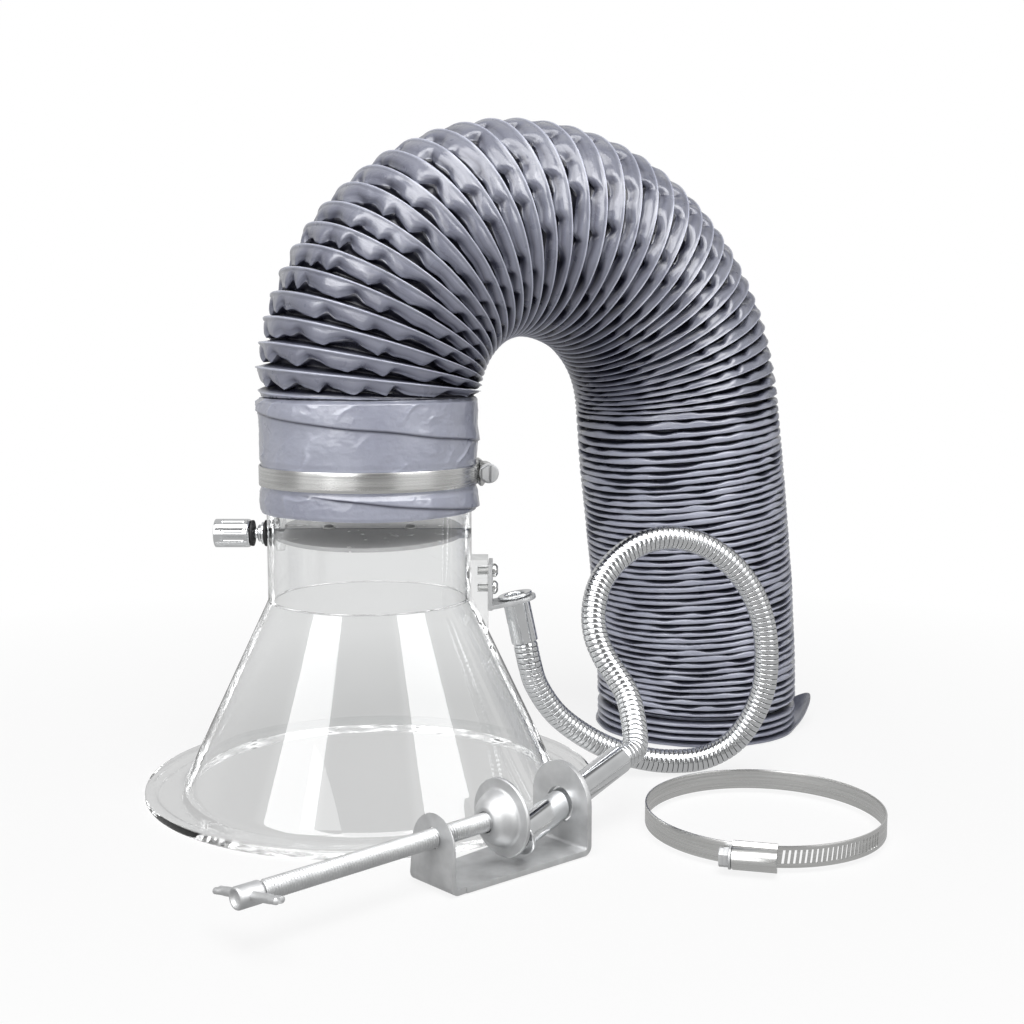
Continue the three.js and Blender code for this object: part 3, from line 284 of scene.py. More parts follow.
# Bench clamp
BRACKET_LENGTH = 76.0
BRACKET_SHEET = 2.5
JAW_HOLE_HEIGHT = 19.0
SCREW_RADIUS = 4.1
SCREW_PITCH = 1.25
SCREW_THREAD_DEPTH = 0.55
SCREW_THREAD_PHASES = (0.0, 0.2, 0.5, 0.7)
SCREW_THREAD_PROFILE = (0.0, 0.12, 1.0, 0.88)
SCREW_OUTER_LENGTH = 80.0
SCREW_HEAD_RADIUS = 4.4
SCREW_HEAD_LENGTH = 11.0
PAD_FACE = 40.0
PAD_RADIUS = 17.0
PAD_DEPTH = 10.5
PAD_DOME_RADIUS = 11.5
PAD_SOCKET = 5
TBAR_RADIUS = 1.8
TBAR_LENGTH = 42.0
TBAR_END_RADIUS = 2.5
TBAR_FLAT = 6.0
TBAR_FLAT_STEPS = 12


# Places read from the frame
def joint(name):
    return next(j for j in frame["joints"] if j["name"] == name)


def joint_point(name):
    return Vector(joint(name)["pos_m"]) / MM


def joint_axis(name):
    return Vector(joint(name)["axis"]).normalized()


def box_mm(node):
    low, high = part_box(node)
    return low / MM, high / MM


def upright_axis(low, high):
    """Foot of the upright line through the middle of a box."""
    return Vector(((low.x + high.x) / 2, (low.y + high.y) / 2, 0))


collar_low, collar_high = box_mm("hood_collar")
HOOD_AXIS = upright_axis(collar_low, collar_high)
COLLAR_RADIUS = (collar_high.x - collar_low.x) / 2
COLLAR_BORE = COLLAR_RADIUS - HOOD_WALL
CONE_TOP = collar_low.z - SEAT_GAP
BRIM_RADIUS = (box_mm("hood_cone")[1].x - box_mm("hood_cone")[0].x) / 2


# Frames, profiles and meshes
def smoothstep(low, high, value):
    t = min(1.0, max(0.0, (value - low) / (high - low)))
    return t * t * (3 - 2 * t)


def mix(a, b, share):
    return a + (b - a) * share


def between(table, value):
    """Smooth value from a table of (place, value) rows."""
    for (a, low), (b, high) in zip(table, table[1:]):
        if value <= b:
            return mix(low, high, smoothstep(a, b, value))
    return table[-1][1]


def polar(radius, angle, z):
    return Vector((radius * math.cos(angle), radius * math.sin(angle), z))


def frame_along(origin, axis, across=UP):
    """A place whose Z runs along axis and whose X is as near as it can be to across."""
    z = Vector(axis).normalized()
    x = (Vector(across) - Vector(across).project(z)).normalized()
    y = z.cross(x)
    place = Matrix((x, y, z)).transposed().to_4x4()
    place.translation = origin
    return place


def rounded(corners, steps=5):
    """An outline of (radius, height, round) corners with each corner rounded off by that much."""
    outline = []
    count = len(corners)
    for i, (r, z, fillet) in enumerate(corners):
        here = Vector((r, z))
        if fillet <= 0:
            outline.append(here)
            continue
        before = Vector(corners[i - 1][:2]) - here
        after = Vector(corners[(i + 1) % count][:2]) - here
        start = here + before.normalized() * min(fillet, before.length * 0.49)
        end = here + after.normalized() * min(fillet, after.length * 0.49)
        for k in range(steps + 1):
            t = k / steps
            outline.append(start * (1 - t) ** 2 + here * (2 * t * (1 - t)) + end * t ** 2)
    return outline


def ring_faces(count, segments, closed=True):
    """Quads between neighbouring sections of count points each, all the way round."""
    faces = []
    for j in range(segments):
        k = (j + 1) % segments
        for i in range(count if closed else count - 1):
            m = (i + 1) % count
            faces.append((j * count + i, k * count + i, k * count + m, j * count + m))
    return faces


def turned(outline, segments, place, swell=None):
    """Turns an outline of (radius, height) points about Z; it is closed unless both ends are on the axis."""
    verts = []
    for j in range(segments):
        angle = TAU * j / segments
        for r, z in outline:
            grown = r + swell(r, z, angle) if swell else r
            verts.append(place @ polar(grown, angle, z))
    open_ended = outline[0][0] < 1e-6 and outline[-1][0] < 1e-6
    return verts, ring_faces(len(outline), segments, not open_ended)


def extruded(outline, low, high, place):
    """A flat outline of (x, y) points made solid from z = low to high."""
    count = len(outline)
    verts = [place @ Vector((x, y, z)) for z in (low, high) for x, y in outline]
    faces = [tuple(range(count)), tuple(range(2 * count - 1, count - 1, -1))]
    for i in range(count):
        k = (i + 1) % count
        faces.append((i, i + count, k + count, k))
    return verts, faces


def finish_mesh(bm, sharp):
    bmesh.ops.remove_doubles(bm, verts=bm.verts, dist=2e-6)
    bmesh.ops.dissolve_degenerate(bm, edges=bm.edges, dist=1e-6)
    bmesh.ops.recalc_face_normals(bm, faces=bm.faces)
    limit = math.radians(sharp)
    for face in bm.faces:
        face.smooth = True
    for edge in bm.edges:
        edge.smooth = edge.calc_face_angle(0) < limit


def add_piece(name, bm, finish, body, replaces):
    mesh = bpy.data.meshes.new(name)
    bm.to_mesh(mesh)
    bm.free()
    made = bpy.data.objects.new(name, mesh)
    bpy.context.scene.collection.objects.link(made)
    mesh.materials.append(finish)
    made.visible_shadow = finish != ACRYLIC
    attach(made, body)
    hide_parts(*replaces)


def piece(name, shape, finish, body, replaces, sharp=SHARP_EDGE, bevel=0.0):
    """A named piece from (verts, faces) in millimetres, with its sharp edges rounded by bevel."""
    verts, faces, *layers = shape
    mesh = bpy.data.meshes.new(name)
    mesh.from_pydata([v * MM for v in verts], [], faces)
    bm = bmesh.new()
    bm.from_mesh(mesh)
    bpy.data.meshes.remove(mesh)
    for label, values in (layers[0] if layers else {}).items():
        layer = bm.verts.layers.float.new(label)
        for vertex, value in zip(bm.verts, values):
            vertex[layer] = value
    if bevel:
        bmesh.ops.remove_doubles(bm, verts=bm.verts, dist=2e-6)
        bmesh.ops.recalc_face_normals(bm, faces=bm.faces)
        round_edges(bm, bevel)
    finish_mesh(bm, sharp)
    add_piece(name, bm, finish, body, replaces)


def round_edges(bm, width):
    limit = math.radians(BEVEL_ANGLE)
    edges = [e for e in bm.edges if e.calc_face_angle(0) > limit]
    bmesh.ops.bevel(bm, geom=edges, offset=width * MM, segments=2, profile=0.7, affect="EDGES",
                    clamp_overlap=True)


def refined(name, node, finish, body, bevel):
    """A copy of a CAD node's mesh with flat faces whole again and its edges rounded."""
    bm = bmesh.new()
    bm.from_mesh(frame["nodes"][node].data)
    bmesh.ops.remove_doubles(bm, verts=bm.verts, dist=2e-6)
    bmesh.ops.dissolve_limit(bm, angle_limit=math.radians(1), verts=bm.verts, edges=bm.edges)
    round_edges(bm, bevel)
    finish_mesh(bm, SHARP_EDGE)
    add_piece(name, bm, finish, body, (node,))


def joined(*shapes):
    verts = []
    faces = []
    for more_verts, more_faces in shapes:
        start = len(verts)
        verts.extend(more_verts)
        faces.extend(tuple(start + i for i in face) for face in more_faces)
    return verts, faces


# Lines that hoses follow
class Line:
    """A smooth line through points, measured along its length, with a frame that doesn't twist."""

    def __init__(self, points, side=None):
        self.points = points
        self.lengths = [0.0]
        for a, b in zip(points, points[1:]):
            self.lengths.append(self.lengths[-1] + (b - a).length)
        self.total = self.lengths[-1]
        count = len(points)
        self.tangents = [
            (points[min(i + 1, count - 1)] - points[max(i - 1, 0)]).normalized() for i in range(count)
        ]
        first = Vector(side) if side is not None else self.tangents[0].orthogonal()
        self.sides = [first.normalized()]
        for tangent in self.tangents[1:]:
            carried = self.sides[-1]
            self.sides.append((carried - carried.project(tangent)).normalized())

    def at(self, distance):
        """Centre, inward normal and side at a distance along the line."""
        i = min(max(bisect_right(self.lengths, distance) - 1, 0), len(self.points) - 2)
        share = (distance - self.lengths[i]) / (self.lengths[i + 1] - self.lengths[i])
        centre = self.points[i].lerp(self.points[i + 1], share)
        tangent = self.tangents[i].lerp(self.tangents[i + 1], share).normalized()
        side = self.sides[i].lerp(self.sides[i + 1], share).normalized()
        return centre, side.cross(tangent), side


def helical_skin(line, pitch_at, phases, sides, radius_at, hand, end_radius, end_run, bore=None):
    """A tube along a line whose rows of points follow a helix. radius_at gives radius, shift and fold, the
    painted shade level.
    """
    places = [line.total * i / HELIX_STEPS for i in range(HELIX_STEPS + 1)]
    turns = [0.0]
    for a, b in zip(places, places[1:]):
        turns.append(turns[-1] + (b - a) / pitch_at((a + b) / 2))
    last_turn = turns[-1]

    def place_of(turn):
        if turn <= 0:
            return 0.0
        if turn >= last_turn:
            return line.total
        i = min(bisect_right(turns, turn) - 1, HELIX_STEPS - 1)
        return mix(places[i], places[i + 1], (turn - turns[i]) / (turns[i + 1] - turns[i]))

    def point(distance, angle, radius):
        centre, normal, side = line.at(distance)
        return centre + normal * (radius * math.cos(angle)) + side * (radius * math.sin(angle))

    rows = [(n, k) for n in range(-1, math.ceil(last_turn) + 1) for k in range(len(phases))]
    verts = []
    folds = []
    along = []
    lanes = []
    for n, k in rows:
        for j in range(sides):
            angle = TAU * j / sides
            turn = n + phases[k] - hand * j / sides
            distance = place_of(turn)
            radius, shift, fold = radius_at(k, angle, angle - hand * TAU * n, distance)
            moved = place_of(turn + shift)
            ends = smoothstep(0, end_run, moved) * smoothstep(0, end_run, line.total - moved)
            verts.append(point(moved, angle, mix(end_radius, radius, ends)))
            folds.append(fold)
            along.append(angle - hand * TAU * n)
            lanes.append(phases[k])
    faces = []
    last_row = len(rows) - 1
    for i in range(last_row):
        for j in range(sides):
            if j + 1 < sides:
                near, far, k = i, i + 1, j + 1
            else:
                near = min(max(i - hand * len(phases), 0), last_row)
                far = min(max(i + 1 - hand * len(phases), 0), last_row)
                k = 0
            faces.append((i * sides + j, near * sides + k, far * sides + k, (i + 1) * sides + j))

    def add_ring(distance, radius):
        start = len(verts)
        verts.extend(point(distance, TAU * j / sides, radius) for j in range(sides))
        return start

    rings = [add_ring(0, end_radius)]
    if bore:
        rings += [add_ring(line.total * i / BORE_STEPS, bore) for i in range(BORE_STEPS + 1)]
        rings.append(add_ring(line.total, end_radius))
        for a, b in zip(rings, rings[1:]):
            faces.extend((a + j, a + (j + 1) % sides, b + (j + 1) % sides, b + j) for j in range(sides))
    else:
        far = add_ring(line.total, end_radius)
        faces.append(tuple(rings[0] + j for j in range(sides)))
        faces.append(tuple(far + j for j in reversed(range(sides))))
    inside = len(verts) - len(folds)
    # The bore and the end rings take the darkest painted shade
    layers = {"fold": folds + [1.0] * inside, "along": along + [0.0] * inside, "lane": lanes + [0.0] * inside}
    return verts, faces, layers


def bezier(a, b, c, d):
    points = []
    for i in range(ARCH_STEPS):
        t = i / ARCH_STEPS
        u = 1 - t
        points.append(a * u ** 3 + b * (3 * u * u * t) + c * (3 * u * t * t) + d * t ** 3)
    return points


def spline(points):
    """Centripetal curve through points, as the frame's own route."""
    def blend(a, b, start, end):
        return a * ((end - t) / (end - start)) + b * ((t - start) / (end - start))

    found = []
    padded = [points[0] * 2 - points[1], *points, points[-1] * 2 - points[-2]]
    for p0, p1, p2, p3 in zip(padded, padded[1:], padded[2:], padded[3:]):
        t1 = (p1 - p0).length ** 0.5
        t2 = t1 + (p2 - p1).length ** 0.5
        t3 = t2 + (p3 - p2).length ** 0.5
        for i in range(SPLINE_STEPS):
            t = mix(t1, t2, i / SPLINE_STEPS)
            middle = blend(p1, p2, t1, t2)
            before = blend(blend(p0, p1, 0, t1), middle, 0, t2)
            after = blend(middle, blend(p2, p3, t2, t3), t1, t3)
            found.append(blend(before, after, t1, t2))
    found.append(points[-1].copy())
    return found


# Finishes
class Nodes:
    """A tree of shader nodes with helpers that add to it."""

    def __init__(self, tree):
        self.tree = tree

    def node(self, kind, **settings):
        made = self.tree.nodes.new(kind)
        for key, value in settings.items():
            if key in made.inputs:
                made.inputs[key].default_value = value
            else:
                setattr(made, key, value)
        return made

    def link(self, source, target):
        self.tree.links.new(source, target)

    def coordinates(self, scale):
        place = self.node("ShaderNodeTexCoord")
        mapping = self.node("ShaderNodeMapping", Scale=scale)
        self.link(place.outputs["Object"], mapping.inputs["Vector"])
        return mapping.outputs["Vector"]

    def noise(self, scale, detail=4.0, stretch=(1, 1, 1)):
        made = self.node("ShaderNodeTexNoise", Scale=scale, Detail=detail)
        self.link(self.coordinates(stretch), made.inputs["Vector"])
        return made.outputs["Fac"]

    def attribute(self, name):
        return self.node("ShaderNodeAttribute", attribute_name=name).outputs["Fac"]

    def ramp(self, source, *stops):
        """Colour by value, from stops of (value, colour or grey)."""
        made = self.node("ShaderNodeValToRGB")
        stripe = made.color_ramp.elements
        while len(stripe) < len(stops):
            stripe.new(0.5)
        for element, (place, colour) in zip(stripe, stops):
            element.position = place
            element.color = (*(colour if isinstance(colour, tuple) else (colour,) * 3), 1)
        self.link(source, made.inputs["Fac"])
        return made.outputs["Color"]

    def ranged(self, source, source_range, low, high):
        made = self.node("ShaderNodeMapRange")
        limits = (*source_range, low, high)
        for label, value in zip(("From Min", "From Max", "To Min", "To Max"), limits):
            made.inputs[label].default_value = value
        self.link(source, made.inputs["Value"])
        return made.outputs["Result"]

    def combined(self, operation, a, b):
        made = self.node("ShaderNodeMath", operation=operation)
        self.link(a, made.inputs[0])
        if isinstance(b, float):
            made.inputs[1].default_value = b
        else:
            self.link(b, made.inputs[1])
        return made.outputs[0]

    def multiplied(self, a, b):
        made = self.node("ShaderNodeMix", data_type="RGBA", blend_type="MULTIPLY")
        made.inputs["Factor"].default_value = 1.0
        self.link(a, made.inputs[6])
        self.link(b, made.inputs[7])
        return made.outputs[2]


class Finish(Nodes):
    """A material with one Principled shader."""

    def __init__(self, name, **sockets):
        self.material = bpy.data.materials.new(name)
        self.material.use_nodes = True
        super().__init__(self.material.node_tree)
        self.shader = self.tree.nodes["Principled BSDF"]
        for socket, value in sockets.items():
            self.shader.inputs[socket.replace("_", " ")].default_value = value

    def drive(self, socket, source):
        self.link(source, self.shader.inputs[socket])

    def vary(self, socket, source, low, high):
        self.drive(socket, self.ranged(source, (0.3, 0.7), low, high))

    def bump(self, source, strength, distance):
        made = self.node("ShaderNodeBump", Strength=strength, Distance=distance)
        self.link(source, made.inputs["Height"])
        old = self.shader.inputs["Normal"].links
        if old:
            self.link(old[0].from_socket, made.inputs["Normal"])
        self.drive("Normal", made.outputs["Normal"])


def clear_acrylic():
    """Clear sheet whose edges, seen along the wall, are greyer and less glossy."""
    look = Finish("clear_acrylic", Metallic=0.0, IOR=1.06, Transmission_Weight=1.0, Coat_IOR=1.65,
                  Coat_Roughness=0.01)
    facing = look.node("ShaderNodeLayerWeight", Blend=0.5).outputs["Facing"]
    look.drive("Coat Weight", look.ramp(facing, (0.66, 1.0), (0.92, 0.1)))
    haze = look.ramp(look.noise(26, 3), (0.3, (0.91, 0.915, 0.915)), (0.7, (0.93, 0.935, 0.935)))
    depth = look.ramp(facing, (0.7, 1.0), (0.94, (0.62, 0.625, 0.63)))
    look.drive("Base Color", look.multiplied(haze, depth))
    look.vary("Roughness", look.noise(90, 5), 0.0, 0.02)
    look.bump(look.noise(18, 2), 0.03, 0.0006)
    return look.material


def smoked_acrylic():
    look = Finish("smoked_acrylic", Metallic=0.0, IOR=1.49, Transmission_Weight=0.5)
    cloud = look.noise(34, 4)
    look.drive("Base Color", look.ramp(cloud, (0.3, (0.72, 0.72, 0.725)), (0.7, (0.8, 0.8, 0.805))))
    look.vary("Roughness", look.noise(160, 5), 0.14, 0.28)
    return look.material


def metal(name, dark, light, rough_low, rough_high, stretch, grain, bump):
    look = Finish(name, Metallic=1.0)
    streak = look.noise(grain, 6, stretch)
    look.drive("Base Color", look.ramp(streak, (0.3, dark), (0.7, light)))
    look.vary("Roughness", look.noise(grain * 0.7, 5, stretch), rough_low, rough_high)
    look.bump(streak, bump, 0.0001)
    return look.material


def wound_chrome():
    """Chrome strip wound into a tube, with painted shade darkening the grooves between its turns."""
    look = Finish("wound_chrome", Metallic=1.0)
    painted_groove_shade = look.attribute("fold")
    # Painted shade: the chrome darkens to near black down in the grooves
    look.drive("Base Color", look.ramp(painted_groove_shade, (0.1, (0.72, 0.73, 0.74)), (0.45, (0.5, 0.5, 0.51)),
                                       (0.9, (0.03, 0.03, 0.035))))
    look.vary("Roughness", look.noise(300, 5), 0.08, 0.2)
    look.bump(look.noise(420, 4), 0.06, 0.0002)
    return look.material


def rubber():
    look = Finish("rubber", Metallic=0.0)
    grain = look.noise(500, 4)
    look.drive("Base Color", look.ramp(grain, (0.3, (0.012, 0.012, 0.013)), (0.7, (0.03, 0.03, 0.032))))
    look.vary("Roughness", grain, 0.5, 0.75)
    look.bump(grain, 0.2, 0.0002)
    return look.material


def pvc_fabric():
    """Coated cloth with painted light on its wires and lips, painted shade and less gloss in its folds, and
    pleats across each turn.
    """
    look = Finish("pvc_fabric", Metallic=0.0, Specular_IOR_Level=0.5, Coat_Roughness=0.14, Coat_IOR=1.55)
    cloth = look.ramp(look.noise(38, 6), (0.28, (0.235, 0.245, 0.31)), (0.5, (0.28, 0.291, 0.36)),
                      (0.74, (0.325, 0.34, 0.41)))
    fold = look.attribute("fold")
    # Painted light and shade: the fold value lightens the cloth up to 2.1 times on wires and lips and darkens
    # it to near black deep in the folds
    shade = look.ramp(fold, (0.0, (2.1, 2.1, 2.05)), (FOLD_EVEN, 1.0), (0.36, (0.74, 0.74, 0.77)),
                      (0.56, (0.24, 0.24, 0.28)), (0.8, (0.04, 0.04, 0.06)))
    look.drive("Coat Weight", look.ramp(fold, (0.3, 0.8), (0.6, 0.0)))
    look.drive("Base Color", look.multiplied(cloth, shade))
    look.vary("Roughness", look.noise(120, 6), 0.24, 0.42)
    thread = look.node("ShaderNodeCombineXYZ")
    look.link(look.attribute("along"), thread.inputs["X"])
    look.link(look.attribute("lane"), thread.inputs["Y"])
    stretched = look.node("ShaderNodeMapping", Scale=(3.5, 11, 1))
    look.link(thread.outputs["Vector"], stretched.inputs["Vector"])
    pleats = look.node("ShaderNodeTexNoise", Scale=1.0, Detail=4.0)
    look.link(stretched.outputs["Vector"], pleats.inputs["Vector"])
    look.bump(pleats.outputs["Fac"], 0.3, 0.0012)
    look.bump(look.noise(95, 6), 0.5, 0.0018)
    look.bump(look.noise(420, 4), 0.25, 0.0005)
    look.bump(look.noise(1300, 3), 0.2, 0.0002)
    return look.material


ACRYLIC = clear_acrylic()
SMOKED = smoked_acrylic()
CHROME = metal("chrome", (0.74, 0.75, 0.76), (0.86, 0.87, 0.88), 0.05, 0.13, (1, 1, 1), 60, 0.03)
STEEL = metal("steel", (0.6, 0.6, 0.59), (0.76, 0.76, 0.75), 0.2, 0.34, (1, 1, 60), 18, 0.12)
ZINC = metal("zinc", (0.52, 0.525, 0.53), (0.63, 0.635, 0.64), 0.48, 0.6, (1, 1, 1), 150, 0.06)
WOUND = wound_chrome()
RUBBER = rubber()
PVC = pvc_fabric()


# Hood
def build_hood():
    at_axis = Matrix.Translation(HOOD_AXIS)
    bead_root = BRIM_RADIUS - BRIM_BEAD_WIDTH
    cone = rounded([
        (COLLAR_RADIUS, CONE_TOP, 0),
        (CONE_FOOT_RADIUS, BRIM_THICKNESS, CONE_FOOT_FILLET),
        (bead_root, BRIM_THICKNESS, 1.5),
        (bead_root + 2, BRIM_BEAD, 1.2),
        (BRIM_RADIUS, BRIM_BEAD, 2.2),
        (BRIM_RADIUS, 0, 1.6),
        (CONE_FOOT_RADIUS - HOOD_WALL, 0, 0.8),
        (COLLAR_BORE, CONE_TOP, 0),
    ], 6)
    piece("hood_cone_shell", turned(cone, HOOD_SEGMENTS, at_axis), ACRYLIC, "hood",
          ("hood_cone",))
    collar = rounded([
        (COLLAR_RADIUS, collar_low.z, 0.3),
        (COLLAR_RADIUS, collar_high.z, 0.6),
        (COLLAR_BORE, collar_high.z, 0.6),
        (COLLAR_BORE, collar_low.z, 0.3),
    ])
    piece("hood_collar_tube", turned(collar, HOOD_SEGMENTS, at_axis), ACRYLIC, "hood",
          ("hood_collar",))


# Damper
def build_damper():
    pivot = joint_point("damper_turn")
    tilt = Matrix.Rotation(math.radians(DAMPER_TILT), 4, "X")
    leaf = Matrix.Translation(pivot) @ tilt
    left = Vector((-1, 0, 0))
    on_axis = frame_along(pivot, left)

    def along_shaft(node, corners, finish, body, segments=ROUND_SEGMENTS):
        shape = turned(rounded(corners), segments, on_axis)
        piece(node + "_turned", shape, finish, body, (node,))

    def span(node):
        low, high = box_mm(node)
        return pivot.x - high.x, pivot.x - low.x

    running = SHAFT_RADIUS + SEAT_GAP

    def rubber_ring(node, radius, body):
        near, far = span(node)
        along_shaft(node, [(running, near, 0), (radius, near, 0.3), (radius, far, 0.3), (running, far, 0)],
                    RUBBER, body)

    rubber_ring("damper_washer", WASHER_RADIUS, "hood")
    near, far = span("damper_bush")
    along_shaft("damper_bush", [
        (running, near, 0), (BUSH_FLANGE_RADIUS, near, 0.2), (BUSH_FLANGE_RADIUS, near + BUSH_FLANGE, 0.3),
        (BUSH_RADIUS + 0.4, near + BUSH_FLANGE, 0.2), (BUSH_RADIUS, near + 1.9, 0.2),
        (BUSH_RADIUS + 0.3, near + 2.3, 0.2), (BUSH_RADIUS, far, 0.4), (running, far, 0.2),
    ], CHROME, "hood")
    rubber_ring("damper_knob_ring", KNOB_RING_RADIUS, "damper")
    near, far = span("damper_shaft")
    along_shaft("damper_shaft", [
        (0, near, 0), (SHAFT_RADIUS, near, 0.3), (SHAFT_RADIUS, far, 0.3), (0, far, 0),
    ], CHROME, "damper", SMALL_SEGMENTS)

    near, far = span("damper_knob")

    def pads(r, z, angle):
        if r < KNOB_RADIUS - 0.4:
            return 0.0
        lane = TAU / KNOB_PADS
        across = ((angle + lane / 2) % lane - lane / 2) * KNOB_RADIUS
        ahead = z - near
        beyond = max(KNOB_PAD_FROM - ahead, ahead - KNOB_PAD_TO, 0)
        reach = math.hypot(across, beyond)
        return -KNOB_PAD_DEPTH * (1 - smoothstep(KNOB_PAD_WIDTH / 2 - 0.45, KNOB_PAD_WIDTH / 2, reach))

    outline = rounded([(0, near, 0), (KNOB_RADIUS - 0.5, near, 0.3), (KNOB_RADIUS, near + 0.9, 0.3)])
    barrel = [Vector((KNOB_RADIUS, mix(near + 1.2, far - 1.4, i / 40))) for i in range(41)]
    nose = rounded([(KNOB_RADIUS, far - 1.3, 0), (KNOB_RADIUS, far, 1.2), (KNOB_RADIUS - 2.4, far, 0.3),
                    (KNOB_RADIUS - 2.8, far - 0.4, 0.2), (0, far - 0.5, 0)])
    knob = turned([*outline, *barrel, *nose], KNOB_SEGMENTS, on_axis, pads)
    piece("damper_knob_fluted", knob, CHROME, "damper", ("damper_knob",))

    boss_inner = COLLAR_BORE - SEAT_GAP - BOSS_LENGTH
    along_shaft("damper_boss", [
        (running, boss_inner, 0.2), (BOSS_RADIUS, boss_inner, 0.6), (BOSS_RADIUS, COLLAR_BORE - 1.2, 0),
        (running, COLLAR_BORE - 0.4, 0),
    ], ACRYLIC, "hood")

    edge = COLLAR_BORE - DISC_CLEARANCE
    notch = boss_inner - DISC_CLEARANCE
    half = BOSS_RADIUS + DISC_CLEARANCE
    start = math.pi - math.asin(half / edge)
    turns = [start * (1 - 2 * i / DISC_EDGE_STEPS) for i in range(DISC_EDGE_STEPS + 1)]
    outline = [(edge * math.cos(turn), edge * math.sin(turn)) for turn in turns]
    outline += [(-notch, -half), (-notch, half)]
    piece("damper_disc_leaf", extruded(outline, SEAT_GAP, SEAT_GAP + DISC_THICKNESS, leaf), SMOKED, "damper",
          ("damper_disc",), bevel=0.35)
    top = 2 * SEAT_GAP + DISC_THICKNESS
    crown = top + DISC_SCREW_HEAD
    for side, x in zip(("left", "right"), DISC_SCREW_PLACES):
        head = rounded([
            (0, top - 2, 0), (DISC_SCREW_RADIUS, top - 2, 0), (DISC_SCREW_RADIUS, top, 0),
            (DISC_SCREW_HEAD_RADIUS, top, 0.2), (DISC_SCREW_HEAD_RADIUS, top + 0.7, 0.5), (1.7, crown, 0.6),
            (0, crown, 0),
        ])
        shape = turned(head, SMALL_SEGMENTS, leaf @ Matrix.Translation((x, 0, 0)))
        piece(f"damper_screw_{side}_turned", shape, STEEL, "damper", (f"damper_screw_{side}",))


# Gooseneck bracket
def build_bracket():
    refined("bracket_block_clear", "bracket_block", ACRYLIC, "hood", 0.5)
    refined("bracket_plate_bent", "bracket_plate", ZINC, "hood", 0.3)
    for place in ("upper", "lower"):
        node = f"bracket_screw_{place}"
        low, high = box_mm(node)
        at = frame_along(Vector((low.x, (low.y + high.y) / 2, (low.z + high.z) / 2)), (1, 0, 0))
        length = high.x - low.x
        seat = length - BRACKET_SCREW_HEAD
        socket = length - BRACKET_SCREW_SOCKET
        head = rounded([
            (0, 0, 0), (1.6, 0, 0.2), (BRACKET_SCREW_RADIUS, 0.4, 0.1), (BRACKET_SCREW_RADIUS, seat, 0),
            (BRACKET_SCREW_HEAD_RADIUS, seat, 0.2), (BRACKET_SCREW_HEAD_RADIUS, seat + 1.2, 0.8),
            (2.0, length, 0.6), (1.2, length, 0.1), (1.0, socket, 0.1), (0, socket, 0),
        ])
        piece(node + "_turned", turned(head, SMALL_SEGMENTS, at), STEEL, "hood", (node,))


# Duct
def duct_line():
    span = math.hypot(OUTLET_X, OUTLET_Y)
    heading = Vector((OUTLET_X, OUTLET_Y, 0)) / span
    start = CUFF_TOP + SEAT_GAP
    end = OUTLET_CUFF_HEIGHT + SEAT_GAP
    peak = span * ARCH_PEAK_SHARE
    leg_top = span - LEG_TOP_INSET
    lean = LEG_TOP_INSET / (LEG_TOP_HEIGHT - end)
    rise = QUARTER_ROUND * (ARCH_PEAK_HEIGHT - start)
    fall = QUARTER_ROUND * (ARCH_PEAK_HEIGHT - LEG_TOP_HEIGHT)
    handle = (LEG_TOP_HEIGHT - end) / 3

    def at(along, z):
        return HOOD_AXIS + heading * along + UP * z

    up = bezier(at(0, start), at(0, start + rise), at(peak * (1 - QUARTER_ROUND), ARCH_PEAK_HEIGHT),
                at(peak, ARCH_PEAK_HEIGHT))
    over = bezier(at(peak, ARCH_PEAK_HEIGHT), at(mix(peak, leg_top, QUARTER_ROUND), ARCH_PEAK_HEIGHT),
                  at(leg_top - lean * fall, LEG_TOP_HEIGHT + fall), at(leg_top, LEG_TOP_HEIGHT))
    down = bezier(at(leg_top, LEG_TOP_HEIGHT), at(leg_top + lean * handle, LEG_TOP_HEIGHT - handle),
                  at(span, end + handle), at(span, end))
    line = Line([*up, *over, *down, at(span, end)], side=UP.cross(heading))
    arch = Line([*up, *over]).total
    return line, arch


